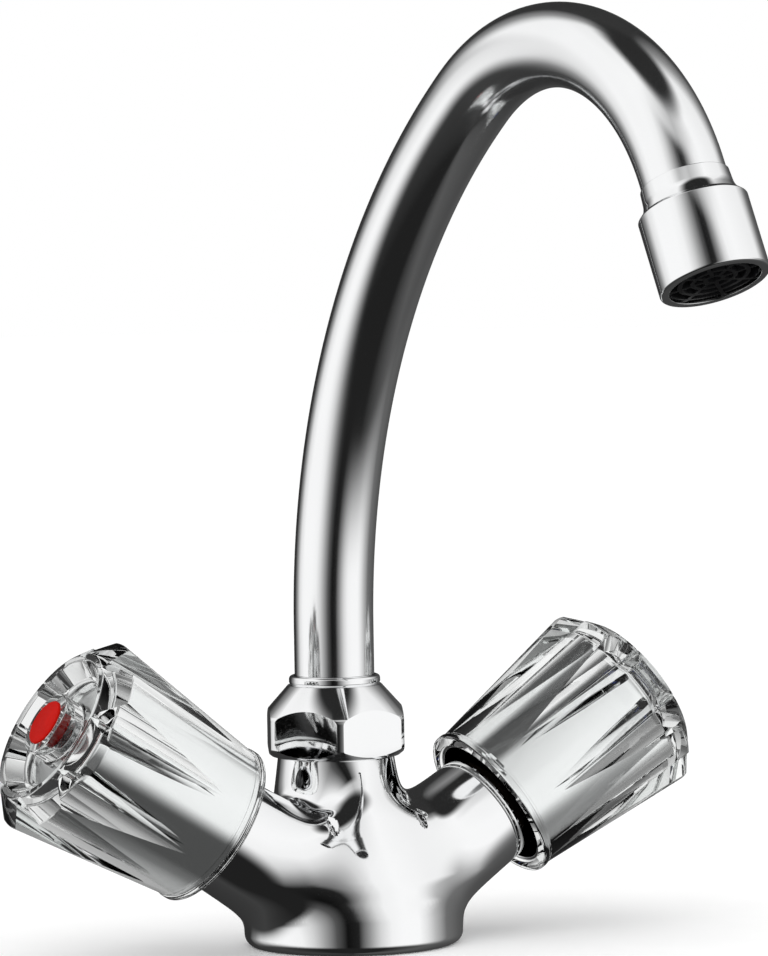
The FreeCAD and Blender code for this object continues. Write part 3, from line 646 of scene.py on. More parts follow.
@dataclass(frozen=True)
class Casting:
    """Y-shaped casting: coned base, two arms and neck, blended into one buffed skin."""

    base_radius: float = 24.5
    base_edge_radius: float = 2.4
    base_wall_height: float = 9.0
    base_draft: float = 0.5
    base_shoulder_radius: float = 8.0
    base_cone_height: float = 40.0
    base_cone_top_radius: float = 4.2
    arm_root_radius: float = 14.6
    arm_end_radius: float = 13.2
    arm_end_station: float = 37.5
    arm_end_chamfer: float = 0.6
    collar_station: float = 40.8
    neck_root_radius: float = 15.2
    neck_foot_height: float = 13.5
    neck_root_height: float = 24.0
    neck_root_blend: float = 10.0
    neck_top_radius: float = 13.1
    neck_shoulder_height: float = 41.4
    neck_thread_radius: float = 12.3
    neck_top_height: float = 52.0
    socket_radius: float = 9.0
    socket_floor: float = 34.0
    mixing_bore_radius: float = 6.5
    mixing_bore_floor: float = 28.0
    head_recess_radius: float = 11.7
    head_recess_floor: float = 34.3
    valve_thread_radius: float = 10.0
    valve_thread_end: float = 26.0
    valve_chamber_radius: float = 8.9
    valve_chamber_floor: float = 17.5
    seat_rim_radius: float = 6.9
    seat_station: float = 19.5
    seat_bore_radius: float = 4.6
    seal_groove_radii: tuple[float, float] = (17.9, 20.9)
    seal_groove_depth: float = 2.4
    inlet_offset: float = 10.5
    inlet_thread_radius: float = 4.5
    inlet_depth: float = 9.0
    inlet_facets: int = 64
    drill_point: float = 0.5
    cut_below: float = 1.0
    stud_offset: float = 13.0
    stud_hole_radius: float = 3.4
    stud_hole_depth: float = 12.0
    mouth_chamfer: float = 0.6
    softness: float = 2.0
    front_softness: float = 4.5
    front_start: float = 4.0
    front_full: float = 14.0
    front_foot: float = 6.0
    front_top: float = 16.0
    arm_tail_station: float = -12.0
    arm_tail_radius: float = 9.0
    arm_tail_rounding: float = 6.0
    arm_shoulder_station: float = 6.0
    arm_shoulder_rounding: float = 30.0
    overrun: float = 3.0
    grid: float = 0.5
    settling: int = 6

    def fields(self) -> list[TurnedField]:
        """Distances to the base, the arms and the neck."""
        base = TurnedField([
            (0, 0),
            (self.base_radius, 0, self.base_edge_radius),
            (self.base_radius - self.base_draft, self.base_wall_height,
             self.base_shoulder_radius),
            (self.base_cone_top_radius, self.base_cone_height),
            (0, self.base_cone_height),
        ], Matrix.Identity(4))
        slope = (self.arm_end_radius - self.arm_root_radius) / self.arm_end_station
        end = self.collar_station + self.overrun
        arm = [(0, self.arm_tail_station),
               (self.arm_tail_radius, self.arm_tail_station, self.arm_tail_rounding),
               (self.arm_root_radius + slope * self.arm_shoulder_station,
                self.arm_shoulder_station, self.arm_shoulder_rounding),
               (self.arm_root_radius + slope * end, end), (0, end)]
        neck = TurnedField([
            (0, self.neck_foot_height),
            (self.neck_root_radius, self.neck_foot_height),
            (self.neck_root_radius, self.neck_root_height, self.neck_root_blend),
            (self.neck_top_radius, self.neck_shoulder_height),
            (self.neck_top_radius, self.neck_shoulder_height + self.overrun),
            (0, self.neck_shoulder_height + self.overrun),
        ], LAYOUT.neck())
        return [base, TurnedField(arm, LAYOUT.arm(Side.HOT)),
                TurnedField(arm, LAYOUT.arm(Side.COLD)), neck]

    def skin(self, fields: Sequence[TurnedField]) -> Field:
        """Distance to the blended outside of the casting."""
        def distance(points: np.ndarray) -> np.ndarray:
            """Distance of each point, below zero inside."""
            forward = eased(-points[:, 1], self.front_start, self.front_full)
            raised = eased(points[:, 2], self.front_foot, self.front_top)
            softness = self.softness + (self.front_softness - self.softness) * forward * raised
            total = melted([field(points) for field in fields], softness)
            return np.maximum(total, -points[:, 2])
        return distance

    def trimmed(self, bm: BMesh) -> BMesh:
        """A form cut off at the deck and closed there."""
        rim = sliced(bm, Vector(), -UP)
        if rim:
            bmesh.ops.edgeloop_fill(bm, edges=rim)
        return bm

    def remeshed(self, bm: BMesh) -> BMesh:
        """The union of crossing shells as one even mesh."""
        obj = workpiece(bm)
        remesh = obj.modifiers.new("remesh", "REMESH")
        remesh.mode, remesh.voxel_size = "VOXEL", self.grid
        return taken_up(obj)

    def ended(self, bm: BMesh, place: Matrix, rings: Sequence[Corner]) -> None:
        """Cuts the skin square to an axis and carries the rim on through turned rings.

        Args:
            bm: The casting.
            place: Takes Z to the axis.
            rings: Radius and station of each ring; the cut is at the first one's station, and
                the last ring is closed.
        """
        rim = sliced(bm, place @ (UP * rings[0][1]), place.to_3x3() @ UP)
        back = place.inverted()
        for radius, station in rings[1:]:
            rim, verts = carried(bm, rim)
            for vert in verts:
                local = back @ vert.co
                flat = Vector((local.x, local.y)).normalized() * radius
                vert.co = place @ Vector((flat.x, flat.y, station))
        bmesh.ops.edgeloop_fill(bm, edges=rim)

    def underside(self) -> list[BMesh]:
        """Tools for the seal groove, the two inlets and the stud hole."""
        inner, outer = self.seal_groove_radii
        low = -self.cut_below
        tools = [turned([(inner, low), (outer, low), (outer, self.seal_groove_depth),
                         (inner, self.seal_groove_depth)])]
        holes = [(-self.inlet_offset, 0, self.inlet_thread_radius, self.inlet_depth),
                 (self.inlet_offset, 0, self.inlet_thread_radius, self.inlet_depth),
                 (0, -self.stud_offset, self.stud_hole_radius, self.stud_hole_depth)]
        for x, y, radius, depth in holes:
            mouth = radius + self.mouth_chamfer
            hole = turned([(0, low), (mouth, low), (mouth, 0), (radius, self.mouth_chamfer),
                           (radius, depth), (0, depth + radius * self.drill_point)],
                          self.inlet_facets)
            tools.append(moved(hole, Matrix.Translation((x, y, 0))))
        return tools

    def build(self) -> None:
        """Makes the casting and dresses it."""
        fields = self.fields()
        skin = self.skin(fields)
        bm = self.remeshed(joined([self.trimmed(field.mesh()) for field in fields]))
        points = settled(np.array([vert.co for vert in bm.verts]), skin, 2 * self.grid,
                         self.settling)
        for vert, point in zip(bm.verts, points):
            vert.co = point
        chamfer = self.arm_end_chamfer
        for side in Side:
            self.ended(bm, LAYOUT.arm(side), [
                (self.arm_end_radius, self.collar_station - chamfer),
                *stepped(self.arm_end_radius - chamfer, self.collar_station,
                         self.head_recess_radius, self.head_recess_floor,
                         self.valve_thread_radius, self.valve_thread_end,
                         self.valve_chamber_radius, self.valve_chamber_floor,
                         self.seat_rim_radius, self.seat_station,
                         self.seat_bore_radius, self.valve_chamber_floor),
            ])
        self.ended(bm, LAYOUT.neck(), stepped(
            self.neck_top_radius, self.neck_shoulder_height,
            self.neck_thread_radius, self.neck_top_height,
            self.socket_radius, self.socket_floor,
            self.mixing_bore_radius, self.mixing_bore_floor))
        bm = carved(closed_outward(bm), self.underside())
        obj = finished("body_casting", bm, CASTING_CHROME, "tap_body")
        buffed(obj.data, skin)


def slopes(points: np.ndarray, field: Field, step: float) -> np.ndarray:
    """Gradient of a distance field by central differences."""
    columns = []
    for axis in np.eye(3) * step:
        columns.append((field(points + axis) - field(points - axis)) / (2 * step))
    return np.stack(columns, axis=1)


def settled(points: np.ndarray, field: Field, reach: float, rounds: int) -> np.ndarray:
    """Points moved onto the surface where a distance field is zero.

    Args:
        points: Points near the surface.
        field: Signed distance.
        reach: Longest move in one round.
        rounds: Number of moves.

    Returns:
        The moved points.
    """
    for _ in range(rounds):
        slope = slopes(points, field, SETTLE_STEP)
        push = field(points) / np.maximum((slope * slope).sum(axis=1), LEAST_SLOPE)
        points = points - slope * np.clip(push, -reach, reach)[:, None]
    return points


def facing_out(points: np.ndarray, field: Field) -> np.ndarray:
    """Unit normals of a distance field at any points."""
    slope = slopes(points, field, SHADE_STEP)
    return slope / np.maximum(np.linalg.norm(slope, axis=1), TINY)[:, None]


def values_of(items: Sequence[object], name: str, width: int, kind: type) -> np.ndarray:
    """One property of every item of a mesh, in rows where it has several parts."""
    values = np.zeros(len(items) * width, kind)
    items.foreach_get(name, values)
    return values.reshape(-1, width) if width > 1 else values


def buffed(mesh: Mesh, field: Field) -> None:
    """Takes the shading of a blended skin from its distance field.

    Args:
        mesh: Finished mesh, in metres.
        field: Signed distance in millimetres to the skin.
    """
    centres = values_of(mesh.polygons, "center", 3, float) / MM
    facing = values_of(mesh.polygons, "normal", 3, float)
    aligned = (facing_out(centres, field) * facing).sum(axis=1)
    on_skin = (np.abs(field(centres)) < SKIN_REACH) & (aligned > SKIN_FACING)
    smooth = facing_out(values_of(mesh.vertices, "co", 3, float) / MM, field)
    normals = values_of(mesh.corner_normals, "vector", 3, float)
    corners = values_of(mesh.loops, "vertex_index", 1, int)
    chosen = np.repeat(on_skin, values_of(mesh.polygons, "loop_total", 1, int))
    normals[chosen] = smooth[corners[chosen]]
    mesh.normals_split_custom_set(normals.tolist())


# Nut


@dataclass(frozen=True)
class Nut:
    """Union nut with a long cone over its flats, and the polished ring on top."""

    flats: int = 6
    across_flats: float = 30.0
    corner_radius: float = 16.9
    foot_height: float = 41.7
    foot_radius: float = 14.4
    foot_chamfer: float = 2.0
    foot_rounding: float = 0.3
    corner_rounding: float = 0.5
    cone_foot: float = 50.6
    cone_rounding: float = 2.0
    top_height: float = 57.8
    top_radius: float = 10.5
    top_rounding: float = 0.5
    thread_radius: float = 12.35
    recess_foot: float = 52.0
    recess_radius: float = 11.3
    shoulder_height: float = 55.5
    tube_hole_radius: float = 9.3
    turn: float = 6.7
    edge_width: float = 0.35
    edge_segments: int = 3
    facets: int = 180
    ring_radius: float = 10.3
    ring_height: float = 2.1
    ring_foot_inset: float = 0.3
    ring_foot_height: float = 0.5
    ring_crown_rounding: float = 0.9

    def hexagon(self) -> BMesh:
        """The nut: a turned blank with six flats, their edges broken."""
        bm = turned([
            (self.thread_radius, self.foot_height),
            (self.foot_radius, self.foot_height, self.foot_rounding),
            (self.corner_radius, self.foot_height + self.foot_chamfer, self.corner_rounding),
            (self.corner_radius, self.cone_foot, self.cone_rounding),
            (self.top_radius, self.top_height, self.top_rounding),
            (self.tube_hole_radius, self.top_height),
            (self.tube_hole_radius, self.shoulder_height),
            (self.recess_radius, self.shoulder_height),
            (self.recess_radius, self.recess_foot),
            (self.thread_radius, self.recess_foot),
        ], self.facets)
        rims = []
        for i in range(self.flats):
            angle = math.radians(self.turn + (i + 0.5) * 360 / self.flats)
            square = Vector((math.cos(angle), math.sin(angle), 0))
            rim = sliced(bm, square * self.across_flats / 2, square)
            bmesh.ops.edgeloop_fill(bm, edges=rim)
            rims += rim
        rims = [edge for edge in rims if edge.is_valid]
        bmesh.ops.bevel(bm, geom=rims, affect="EDGES", offset_type="OFFSET",
                        offset=self.edge_width, segments=self.edge_segments, profile=0.5,
                        material=-1, clamp_overlap=True)
        return moved(closed_outward(bm), LAYOUT.neck())

    def ring(self) -> BMesh:
        """The ring that closes the gap between the tube and the top of the nut."""
        top = self.top_height + self.ring_height
        return moved(turned([
            (self.tube_hole_radius, self.top_height),
            (self.ring_radius - self.ring_foot_inset, self.top_height),
            (self.ring_radius, self.top_height + self.ring_foot_height, self.ring_foot_inset),
            (self.ring_radius, top, self.ring_crown_rounding),
            (self.tube_hole_radius, top),
        ]), LAYOUT.neck())

    def build(self) -> None:
        """Makes the nut and its ring and dresses them."""
        finished("union_nut", self.hexagon(), NUT_CHROME, "tap_body", CRISP)
        finished("nut_ring", self.ring(), NUT_CHROME, "tap_body")


# Spout


@dataclass(frozen=True)
class Spout:
    """Swan-neck tube, the flare at its end and the aerator housing."""

    radius: float = 9.0
    bore_radius: float = 8.0
    foot_height: float = 55.2
    rise: float = 15.9
    rear_radius: float = 147.7
    rear_angle: float = 52.6
    front_radius: float = 48.3
    front_angle: float = 102.1
    end_length: float = 7.5
    facets: int = 112
    facet_length: float = 1.6
    running_fit: float = 0.05
    flare_lip: float = 0.35
    flare_lip_rounding: float = 0.15
    flare_overlap: float = 5.5
    flare_waist_radius: float = 9.6
    flare_waist_station: float = 3.5
    flare_waist_rounding: float = 4.0
    flare_length: float = 5.6
    flare_radius: float = 10.5
    thread_radius: float = 10.45
    thread_length: float = 7.0
    adapter_bore_radius: float = 7.8
    housing_radius: float = 11.6
    housing_length: float = 17.3
    housing_wall: float = 1.1
    housing_top_chamfer: float = 0.7
    housing_top_rounding: float = 0.3
    housing_foot_rounding: float = 0.5
    housing_lip_radius: float = 9.7
    housing_lip_height: float = 1.0
    housing_lip_rounding: float = 0.15

    def bend(self, bm: BMesh, rim: list[BMEdge], centre: Vector, angle: float,
             radius: float) -> list[BMEdge]:
        """Carries an open ring of edges round one bend.

        Args:
            bm: The wall so far.
            rim: Its open end.
            centre: Centre of the bend.
            angle: Angle in degrees.
            radius: Radius of the bend's centre line.

        Returns:
            The new open end.
        """
        steps = math.ceil(radius * math.radians(angle) / self.facet_length)
        spun = bmesh.ops.spin(bm, geom=rim, cent=centre, axis=(1, 0, 0),
                              angle=math.radians(angle), steps=steps)
        return edges_of(spun["geom_last"])

    def run(self, bm: BMesh, rim: list[BMEdge], travel: Vector) -> list[BMEdge]:
        """Carries an open ring of edges straight on and returns the new open end."""
        rim, verts = carried(bm, rim)
        bmesh.ops.translate(bm, vec=travel, verts=verts)
        return rim

    def centres(self) -> tuple[Vector, Vector]:
        """Centres of the rear and the front bend, in the plane x = 0."""
        rear = Vector((0, -self.rear_radius, self.foot_height + self.rise))
        inward = Matrix.Rotation(math.radians(self.rear_angle), 3, "X") @ Vector((0, -1, 0))
        return rear, rear + inward * (self.front_radius - self.rear_radius)

    def outlet(self) -> Matrix:
        """Takes a piece built along Z to the end of the tube, before the spout is swung."""
        turn = Matrix.Rotation(math.radians(self.rear_angle + self.front_angle), 4, "X")
        front = self.centres()[1]
        arm = turn.to_3x3() @ Vector((0, 1, 0)) * self.front_radius
        end = front + arm + turn.to_3x3() @ UP * self.end_length
        return Matrix.Translation(end) @ turn

    def wall(self, bm: BMesh, radius: float) -> list[list[BMEdge]]:
        """One open skin of the tube, from its foot to the outlet; returns both rims."""
        ring = bmesh.ops.create_circle(bm, segments=self.facets, radius=radius,
                                       matrix=Matrix.Translation((0, 0, self.foot_height)))
        first = list({edge for vert in ring["verts"] for edge in vert.link_edges})
        rear, front = self.centres()
        rim = self.run(bm, first, UP * self.rise)
        rim = self.bend(bm, rim, rear, self.rear_angle, self.rear_radius)
        rim = self.bend(bm, rim, front, self.front_angle, self.front_radius)
        rim = self.run(bm, rim, self.outlet().to_3x3() @ UP * self.end_length)
        return [first, rim]

    def tube(self) -> BMesh:
        """The bent tube: an outer and an inner skin, bridged at both ends."""
        bm = bmesh.new()
        outer, inner = self.wall(bm, self.radius), self.wall(bm, self.bore_radius)
        for pair in zip(outer, inner):
            bmesh.ops.bridge_loops(bm, edges=pair[0] + pair[1])
        return moved(closed_outward(bm), LAYOUT.spout())

    def flare(self) -> BMesh:
        """The hollow flare between the tube and the housing, with its thread below."""
        sleeve = self.radius + self.running_fit
        foot = self.flare_length - self.flare_overlap
        return self.at_outlet(turned([
            (sleeve, -self.flare_overlap),
            (sleeve + self.flare_lip, -self.flare_overlap, self.flare_lip_rounding),
            (self.flare_waist_radius, self.flare_waist_station - self.flare_overlap,
             self.flare_waist_rounding),
            (self.flare_radius, foot),
            (self.thread_radius, foot),
            (self.thread_radius, foot + self.thread_length),
            (self.adapter_bore_radius, foot + self.thread_length),
            (self.adapter_bore_radius, self.running_fit),
            (sleeve, self.running_fit),
        ]))

    def housing(self) -> BMesh:
        """The polished cylinder over the aerator."""
        start = self.flare_length - self.flare_overlap
        end = start + self.housing_length
        bore = self.housing_radius - self.housing_wall
        thread = self.thread_radius + self.running_fit
        return self.at_outlet(turned([
            (thread, start),
            (self.housing_radius - self.housing_top_chamfer, start),
            (self.housing_radius, start + self.housing_top_chamfer,
             self.housing_top_rounding),
            (self.housing_radius, end, self.housing_foot_rounding),
            (self.housing_lip_radius, end, self.housing_lip_rounding),
            (self.housing_lip_radius, end - self.housing_lip_height),
            (bore, end - self.housing_lip_height),
            (bore, start + self.thread_length),
            (thread, start + self.thread_length),
        ]))

    def at_outlet(self, bm: BMesh) -> BMesh:
        """A piece built along Z from the tube's end, moved to the swung outlet."""
        return moved(bm, LAYOUT.spout() @ self.outlet())

    def build(self) -> None:
        """Makes the tube, the flare and the housing and dresses them."""
        finished("spout_tube", self.tube(), SPOUT_CHROME, "spout")
        finished("outlet_adapter", self.flare(), OUTLET_CHROME, "spout")
        finished("aerator_housing", self.housing(), OUTLET_CHROME, "spout")


# Handles


@dataclass(frozen=True)
class Handle:
    """Clear fluted handle with the chromed sleeve inside it and the button in its boss."""

    facets: int = 176
    skirt_station: float = 41.4
    skirt_radius: float = 18.9
    mouth_rounding: float = 0.2
    lip_height: float = 2.2
    lip_groove: float = 0.35
    lip_groove_width: float = 0.6
    cone_start_radius: float = 18.6
    corner_station: float = 82.6
    corner_radius: float = 23.3
    front_station: float = 87.0
    front_radius: float = 18.0
    front_land: float = 1.6
    front_rounding: float = 0.8
    lobes: int = 8
    flute_front_radius: float = 17.4
    flute_runout: float = 50.0
    flute_half_angle: float = 45.0
    flute_root_radius: float = 0.5
    flute_root_segments: int = 5
    flute_run_past: float = 12.0
    flute_reach: float = 7.5
    dish_radius: float = 13.2
    dish_floor: float = 83.4
    dish_rounding: float = 1.0
    boss_radius: float = 7.3
    boss_top: float = 88.5
    boss_foot_rounding: float = 0.6
    boss_top_rounding: float = 0.4
    edge_rounding: float = 0.5
    cavity_radius: float = 16.35
    cavity_top: float = 81.45
    cavity_rounding: float = 0.5
    well_radius: float = 4.25
    well_rounding: float = 0.15
    button_radius: float = 5.25
    button_face: float = 89.4
    button_cap_height: float = 1.4
    button_stem_radius: float = 4.2
    button_stem_bore: float = 3.3
    button_stem_foot: float = 85.5
    button_stem_depth: float = 1.2
    button_dome: float = 0.5
    button_dome_fall: float = 0.08
    button_dome_rounding: float = 8.0
    button_foot_rounding: float = 0.3
    button_rim_rounding: float = 0.45
    button_facets: int = 96
    running_fit: float = 0.05
    sleeve_radius: float = 16.3
    sleeve_bore: float = 15.5
    sleeve_start: float = 42.0
    sleeve_front: float = 81.4
    sleeve_front_wall: float = 2.5
    sleeve_rounding: float = 1.0
    sleeve_lip_rounding: float = 0.2
    hub_outer_radius: float = 7.0
    hub_bore: float = 5.05
    hub_start: float = 59.8
    hub_floor: float = 72.1
    screw_hole_radius: float = 2.0

    def flute_bar(self) -> BMesh:
        """V-shaped bar, its root rounded, that leaves the cone on its way to the skirt."""
        start = self.skirt_station + self.lip_height
        slope = (self.corner_radius - self.cone_start_radius) / (self.corner_station - start)
        foot = Vector((self.cone_start_radius + slope * (self.flute_runout - start), 0,
                       self.flute_runout))
        tip = Vector((self.flute_front_radius, 0, self.front_station))
        along = (tip - foot).normalized()
        outward = Vector((along.z, 0, -along.x)) * self.flute_reach
        spread = Vector((0, self.flute_reach * math.tan(math.radians(self.flute_half_angle)), 0))
        root = foot - along * self.flute_run_past
        bm = bmesh.new()
        corners = [bm.verts.new(root), bm.verts.new(root + outward + spread),
                   bm.verts.new(root + outward - spread)]
        face = bm.faces.new(corners)
        grown = bmesh.ops.extrude_face_region(bm, geom=[face])["geom"]
        travel = along * ((tip - foot).length + 2 * self.flute_run_past)
        bmesh.ops.translate(bm, vec=travel, verts=verts_of(grown))
        keel = [edge for edge in bm.edges
                if all((vert.co - root).cross(along).length < WELD for vert in edge.verts)]
        bmesh.ops.bevel(bm, geom=keel, affect="EDGES", offset_type="OFFSET",
                        offset=self.flute_root_radius, segments=self.flute_root_segments,
                        profile=0.5, material=-1)
        return closed_outward(bm)

    def shell(self) -> BMesh:
        """The clear handle: lipped skirt, flared lobes, bevelled front, dish and boss."""
        lip_top = self.skirt_station + self.lip_height
        floor = self.button_face - self.button_cap_height - self.running_fit
        blank = turned([
            (self.cavity_radius, self.skirt_station, self.mouth_rounding),
            (self.skirt_radius, self.skirt_station, self.edge_rounding),
            (self.skirt_radius, lip_top - self.lip_groove_width, self.edge_rounding / 2),
            (self.skirt_radius - self.lip_groove, lip_top - self.lip_groove_width),
            (self.skirt_radius - self.lip_groove, lip_top),
            (self.cone_start_radius, lip_top),
            (self.corner_radius, self.corner_station, self.edge_rounding),
            (self.front_radius, self.front_station, self.front_rounding),
            (self.front_radius - self.front_land, self.front_station, self.front_rounding),
            (self.dish_radius, self.dish_floor, self.dish_rounding),
            (self.boss_radius, self.dish_floor, self.boss_foot_rounding),
            (self.boss_radius, self.boss_top, self.boss_top_rounding),
            (self.button_radius + self.running_fit, self.boss_top, self.well_rounding),
            (self.button_radius + self.running_fit, floor),
            (self.well_radius, floor),
            (self.well_radius, self.cavity_top),
            (self.cavity_radius, self.cavity_top, self.cavity_rounding),
        ], self.facets)
        bars = []
        for i in range(self.lobes):
            angle = (i + 0.5) * FULL_TURN / self.lobes
            bars.append(moved(self.flute_bar(), Matrix.Rotation(angle, 4, "Z")))
        return carved(blank, bars)

    def sleeve(self) -> BMesh:
        """The chromed cup inside the clear handle, with the hub for the spline insert."""
        inner_front = self.sleeve_front - self.sleeve_front_wall
        return turned([
            (self.sleeve_bore, self.sleeve_start, self.sleeve_lip_rounding),
            (self.sleeve_radius, self.sleeve_start, self.sleeve_lip_rounding),
            (self.sleeve_radius, self.sleeve_front, self.sleeve_rounding),
            (self.screw_hole_radius, self.sleeve_front),
            (self.screw_hole_radius, self.hub_floor),
            (self.hub_bore, self.hub_floor),
            (self.hub_bore, self.hub_start),
            (self.hub_outer_radius, self.hub_start),
            (self.hub_outer_radius, inner_front),
            (self.sleeve_bore, inner_front, self.sleeve_rounding),
        ])

    def button(self) -> BMesh:
        """The coloured button with its low dome and hollow stem."""
        cap_foot = self.button_face - self.button_cap_height
        return turned([
            (0, self.button_stem_foot + self.button_stem_depth),
            (self.button_stem_bore, self.button_stem_foot + self.button_stem_depth),
            (self.button_stem_bore, self.button_stem_foot),
            (self.button_stem_radius, self.button_stem_foot),
            (self.button_stem_radius, cap_foot),
            (self.button_radius, cap_foot, self.button_foot_rounding),
            (self.button_radius, self.button_face - self.button_dome,
             self.button_rim_rounding),
            (self.button_radius / 2, self.button_face - self.button_dome_fall,
             self.button_dome_rounding),
            (0, self.button_face),
        ], self.button_facets)

    def build(self, side: Side, phase: float, button_finish: Finish, button_slot: str) -> None:
        """Makes one handle and dresses it.

        Args:
            side: Arm that it turns on.
            phase: How far it is turned at rest, in degrees.
            button_finish: What the button is made of.
            button_slot: Material slot of the button; not used.
        """
        place = LAYOUT.arm(side, phase)
        body = side.prefix + "_handle"
        pieces = [("handle_shell", self.shell(), CLEAR_ACRYLIC, "clear_acrylic", CRISP),
                  ("handle_sleeve", self.sleeve(), SLEEVE_CHROME, "chrome_sleeve", SHARP),
                  ("index_button", self.button(), button_finish, button_slot, SHARP)]
        for name, bm, finish, slot, sharp in pieces:
            finished(f"{side.prefix}_{name}", moved(bm, place), finish, body, sharp)


# Studio


@dataclass(frozen=True)
class Band:
    """Brightness round the studio at one height.

    Args:
        panels: Degrees to the right of the camera, and the brightness there.
        start: Sine of the elevation where this band begins to show over the one below.
        full: Sine of the elevation from which it hides the one below.
    """

    panels: tuple[tuple[float, float], ...]
    start: float = -1.0
    full: float = -1.0


# The room that metal shows, dark in front and overhead
GLOSS_ROOM = (
    Band(((-180, 0.03), (-100, 0.05), (-40, 0.015), (40, 0.015), (100, 0.1), (180, 0.04))),
    Band(((-180, 0.06), (-165, 0.03), (-144, 0.03), (-128, 0.3), (-114, 0.8), (-97, 1.0),
          (-67, 1.0), (-53, 0.95), (-41, 0.7), (-29, 0.36), (-17, 0.09), (-6, 0.005), (6, 0.015),
          (17, 0.3), (29, 0.7), (41, 0.95), (53, 1.0), (74, 1.0), (85, 0.8), (97, 0.5),
          (116, 0.16), (144, 0.1), (165, 0.08), (180, 0.06)), -0.6, -0.2),
    Band(((-180, 0.03), (-158, 0.03), (-140, 0.3), (-125, 0.95), (-67, 1.0), (-53, 0.95),
          (-41, 0.7), (-29, 0.36), (-17, 0.09), (-8, 0.01), (2, 0.02), (14, 0.3), (26, 0.7),
          (38, 0.95), (60, 1.0), (116, 0.9), (138, 0.3), (158, 0.03), (180, 0.03)), 0.12, 0.4),
    Band(((-180, 0.03), (-158, 0.03), (-138, 0.3), (-125, 0.9), (-60, 1.0), (-20, 0.66),
          (0, 0.52), (20, 0.66), (60, 1.0), (116, 0.9), (138, 0.3), (158, 0.03), (180, 0.03)),
         0.68, 0.8),
    Band(((-180, 0.02), (180, 0.02)), 0.85, 0.96),
)
# The room that the clear handles show, lighter below and behind
CLEAR_ROOM = (
    Band(((-180, 0.85), (-140, 0.5), (-100, 0.18), (-40, 0.08), (40, 0.08), (100, 0.24),
          (140, 0.5), (180, 0.85))),
    Band(((-180, 1.0), (-157, 1.0), (-149, 0.4), (-140, 0.16), (-128, 0.3), (-114, 0.8),
          (-97, 1.0), (-67, 1.0), (-41, 0.7), (-17, 0.25), (0, 0.12), (17, 0.3), (41, 0.95),
          (74, 1.0), (85, 0.8), (97, 0.5), (116, 0.16), (144, 0.1), (153, 0.3), (160, 1.0),
          (180, 1.0)), -0.5, -0.15),
    Band(((-180, 1.0), (-150, 0.8), (-138, 0.6), (-125, 0.95), (-60, 1.0), (-20, 0.66),
          (0, 0.52), (20, 0.66), (60, 1.0), (116, 0.9), (138, 0.4), (150, 0.8), (180, 1.0)),
         0.2, 0.5),
    Band(((-180, 0.08), (180, 0.08)), 0.88, 0.98),
)


class Room(Graph):
    """Node tree of the world, with the walls of a room round every ray."""

    def __init__(self, tree: NodeTree, azimuth: float) -> None:
        """Splits a ray's direction into its turn and its height.

        Args:
            tree: The world's nodes.
            azimuth: Degrees, clockwise from +Y, at which the camera looks.
        """
        super().__init__(tree)
        place = self.add("TexCoord").outputs["Generated"]
        east, north, self.height = self.add("SeparateXYZ", {"Vector": place}).outputs
        angle = self.maths("ADD", self.maths("ARCTAN2", east, north), math.radians(-azimuth))
        self.turn = self.maths("WRAP", self.maths("DIVIDE", angle, -FULL_TURN), 1.0, 0.0)

    def maths(self, operation: str, *values: NodeSocket | float) -> NodeSocket:
        """Result of a maths node on sockets or numbers."""
        node = self.add("Math", dict(enumerate(values)))
        node.operation = operation
        return node.outputs[0]

    def grey(self, level: float) -> NodeSocket:
        """An even grey."""
        colour = self.add("RGB").outputs[0]
        colour.default_value = (level, level, level, 1.0)
        return colour

    def mixed(self, factor: NodeSocket, first: NodeSocket, second: NodeSocket) -> NodeSocket:
        """One colour at factor 0 and another at factor 1."""
        node = self.add("Mix")
        node.data_type = "RGBA"
        low, high = (i for i, socket in enumerate(node.inputs) if socket.type == "RGBA")
        self.fill(node, {"Factor": factor, low: first, high: second})
        return next(socket for socket in node.outputs if socket.type == "RGBA")

    def walls(self, band: Band) -> NodeSocket:
        """Brightness round the room in one band."""
        return self.ramp(self.turn, [((heading + 180) / 360, (level, level, level))
                                     for heading, level in band.panels])

    def lit(self, bands: Sequence[Band]) -> NodeSocket:
        """Brightness of the room in every direction, given its bands from the floor up."""
        shown = self.walls(bands[0])
        for band in bands[1:]:
            rise = self.add("MapRange", {"Value": self.height, "From Min": band.start,
                                         "From Max": band.full})
            rise.interpolation_type = "SMOOTHSTEP"
            shown = self.mixed(rise.outputs["Result"], shown, self.walls(band))
        return shown


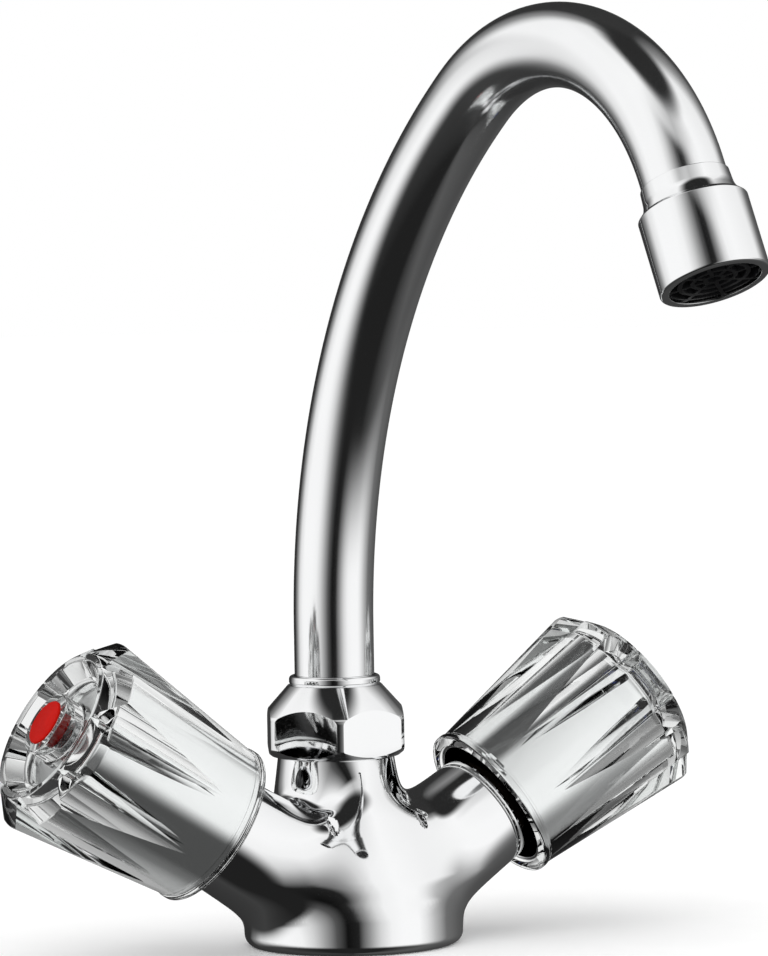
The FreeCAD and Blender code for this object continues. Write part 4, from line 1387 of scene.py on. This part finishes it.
@dataclass(frozen=True)
class Studio:
    """Pale floor, soft light, reflections of a room with light and dark walls, and the camera."""

    camera_location: tuple[float, float, float] = (-528.466, -1030.840, 163.829)
    camera_azimuth: float = 27.142
    camera_heading: float = 27.559
    camera_tilt: float = 2.939
    camera_roll: float = 0.938
    focal_pixels: float = 5182.0
    frame_height: float = 956.0
    sensor: float = 36.0
    clip: tuple[float, float] = (0.01, 50.0)
    floor_reach: float = 6.0
    floor_facets: int = 64
    floor_shade: tuple[float, float, float] = (0.99, 0.99, 0.99)
    speckle_scale: float = 60.0
    ambient: float = 1.03

    def camera(self) -> None:
        """The camera at the photograph's angle."""
        data = bpy.data.cameras.new("Camera")
        data.sensor_fit = "AUTO"
        data.sensor_width = self.sensor
        data.lens = self.focal_pixels * self.sensor / self.frame_height
        data.clip_start, data.clip_end = self.clip
        obj = placed("Camera", data)
        heading, tilt = math.radians(self.camera_heading), math.radians(self.camera_tilt)
        forward = Vector((math.sin(heading) * math.cos(tilt),
                          math.cos(heading) * math.cos(tilt), -math.sin(tilt)))
        level = forward.to_track_quat("-Z", "Y")
        roll = Quaternion((0, 0, 1), -math.radians(self.camera_roll))
        obj.rotation_mode = "QUATERNION"
        obj.rotation_quaternion = level @ roll
        obj.location = Vector(self.camera_location) * MM
        bpy.context.scene.camera = obj

    def floor(self) -> None:
        """A wide pale floor that keeps the tap's shadow and stays out of its reflections."""
        bm = bmesh.new()
        bmesh.ops.create_circle(bm, cap_ends=True, segments=self.floor_facets,
                                radius=self.floor_reach)
        bench = Bench("Floor")
        speckle = bench.noise(self.speckle_scale, detail=4.0)
        bench.set(Base_Color=bench.blend(speckle, self.floor_shade, WHITE), Roughness=1.0,
                  Specular_IOR_Level=0.0)
        obj = placed("Floor", meshed("Floor", bm))
        obj.data.materials.append(bench.material)
        obj.visible_glossy = obj.visible_transmission = False

    def lamp(self, name: str, heading: float, elevation: float, size: float, power: float) -> None:
        """A soft lamp one metre from the tap, out of the metal's reflections.

        Args:
            name: Its name.
            heading: Degrees to the right of the camera, seen from the tap.
            elevation: Degrees above the floor.
            size: Width of its square face in metres.
            power: Watts.
        """
        data = bpy.data.lights.new(name, "AREA")
        data.size, data.energy = size, power
        obj = placed(name, data)
        angle = math.radians(180 + self.camera_azimuth - heading)
        rise = math.radians(elevation)
        away = Vector((math.sin(angle) * math.cos(rise), math.cos(angle) * math.cos(rise),
                       math.sin(rise)))
        obj.location = away
        obj.rotation_euler = (-away).to_track_quat("-Z", "Y").to_euler()
        obj.visible_glossy = obj.visible_transmission = False

    def world(self) -> None:
        """White to the camera, even to matt surfaces, and the room to metal and clear pieces."""
        world = bpy.data.worlds.new("Studio")
        bpy.context.scene.world = world
        world.use_nodes = True
        world.node_tree.nodes.clear()
        room = Room(world.node_tree, self.camera_azimuth)
        path = room.add("LightPath")
        shown = room.grey(1.0)
        for ray, light in (("Is Diffuse Ray", room.grey(self.ambient)),
                           ("Is Glossy Ray", room.lit(GLOSS_ROOM)),
                           ("Is Transmission Ray", room.lit(CLEAR_ROOM))):
            shown = room.mixed(path.outputs[ray], shown, light)
        background = room.add("Background", {"Color": shown})
        room.add("OutputWorld", {"Surface": background.outputs[0]})

    def build(self) -> None:
        """Sets up the studio."""
        bpy.context.scene.view_settings.view_transform = "Standard"
        self.camera()
        self.floor()
        self.world()
        self.lamp("Key_lamp", heading=-35, elevation=50, size=0.7, power=1.2)
        self.lamp("Fill_lamp", heading=50, elevation=35, size=0.9, power=0.6)


def dress_nodes() -> None:
    """Gives each CAD node that stays on view its own finish."""
    for name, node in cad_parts.items():
        if node.hide_render:
            continue
        piece = name
        for side in Side:
            piece = piece.removeprefix(side.prefix + "_")
        material = NODE_FINISHES[piece].material()
        for slot in node.material_slots:
            slot.material = material
        log.info("%s: CAD node in %s", name, material.name)


def main() -> None:
    """Builds the tap, dresses it and sets up the studio."""
    logging.basicConfig(level=logging.INFO, format="%(name)s: %(message)s", stream=sys.stdout)
    Casting().build()
    Nut().build()
    Spout().build()
    Handle().build(Side.HOT, HOT_PHASE, RED_BUTTON, "red_plastic")
    Handle().build(Side.COLD, COLD_PHASE, BLUE_BUTTON, "blue_plastic")
    dress_nodes()
    Studio().build()


if __name__ == "__main__":
    main()
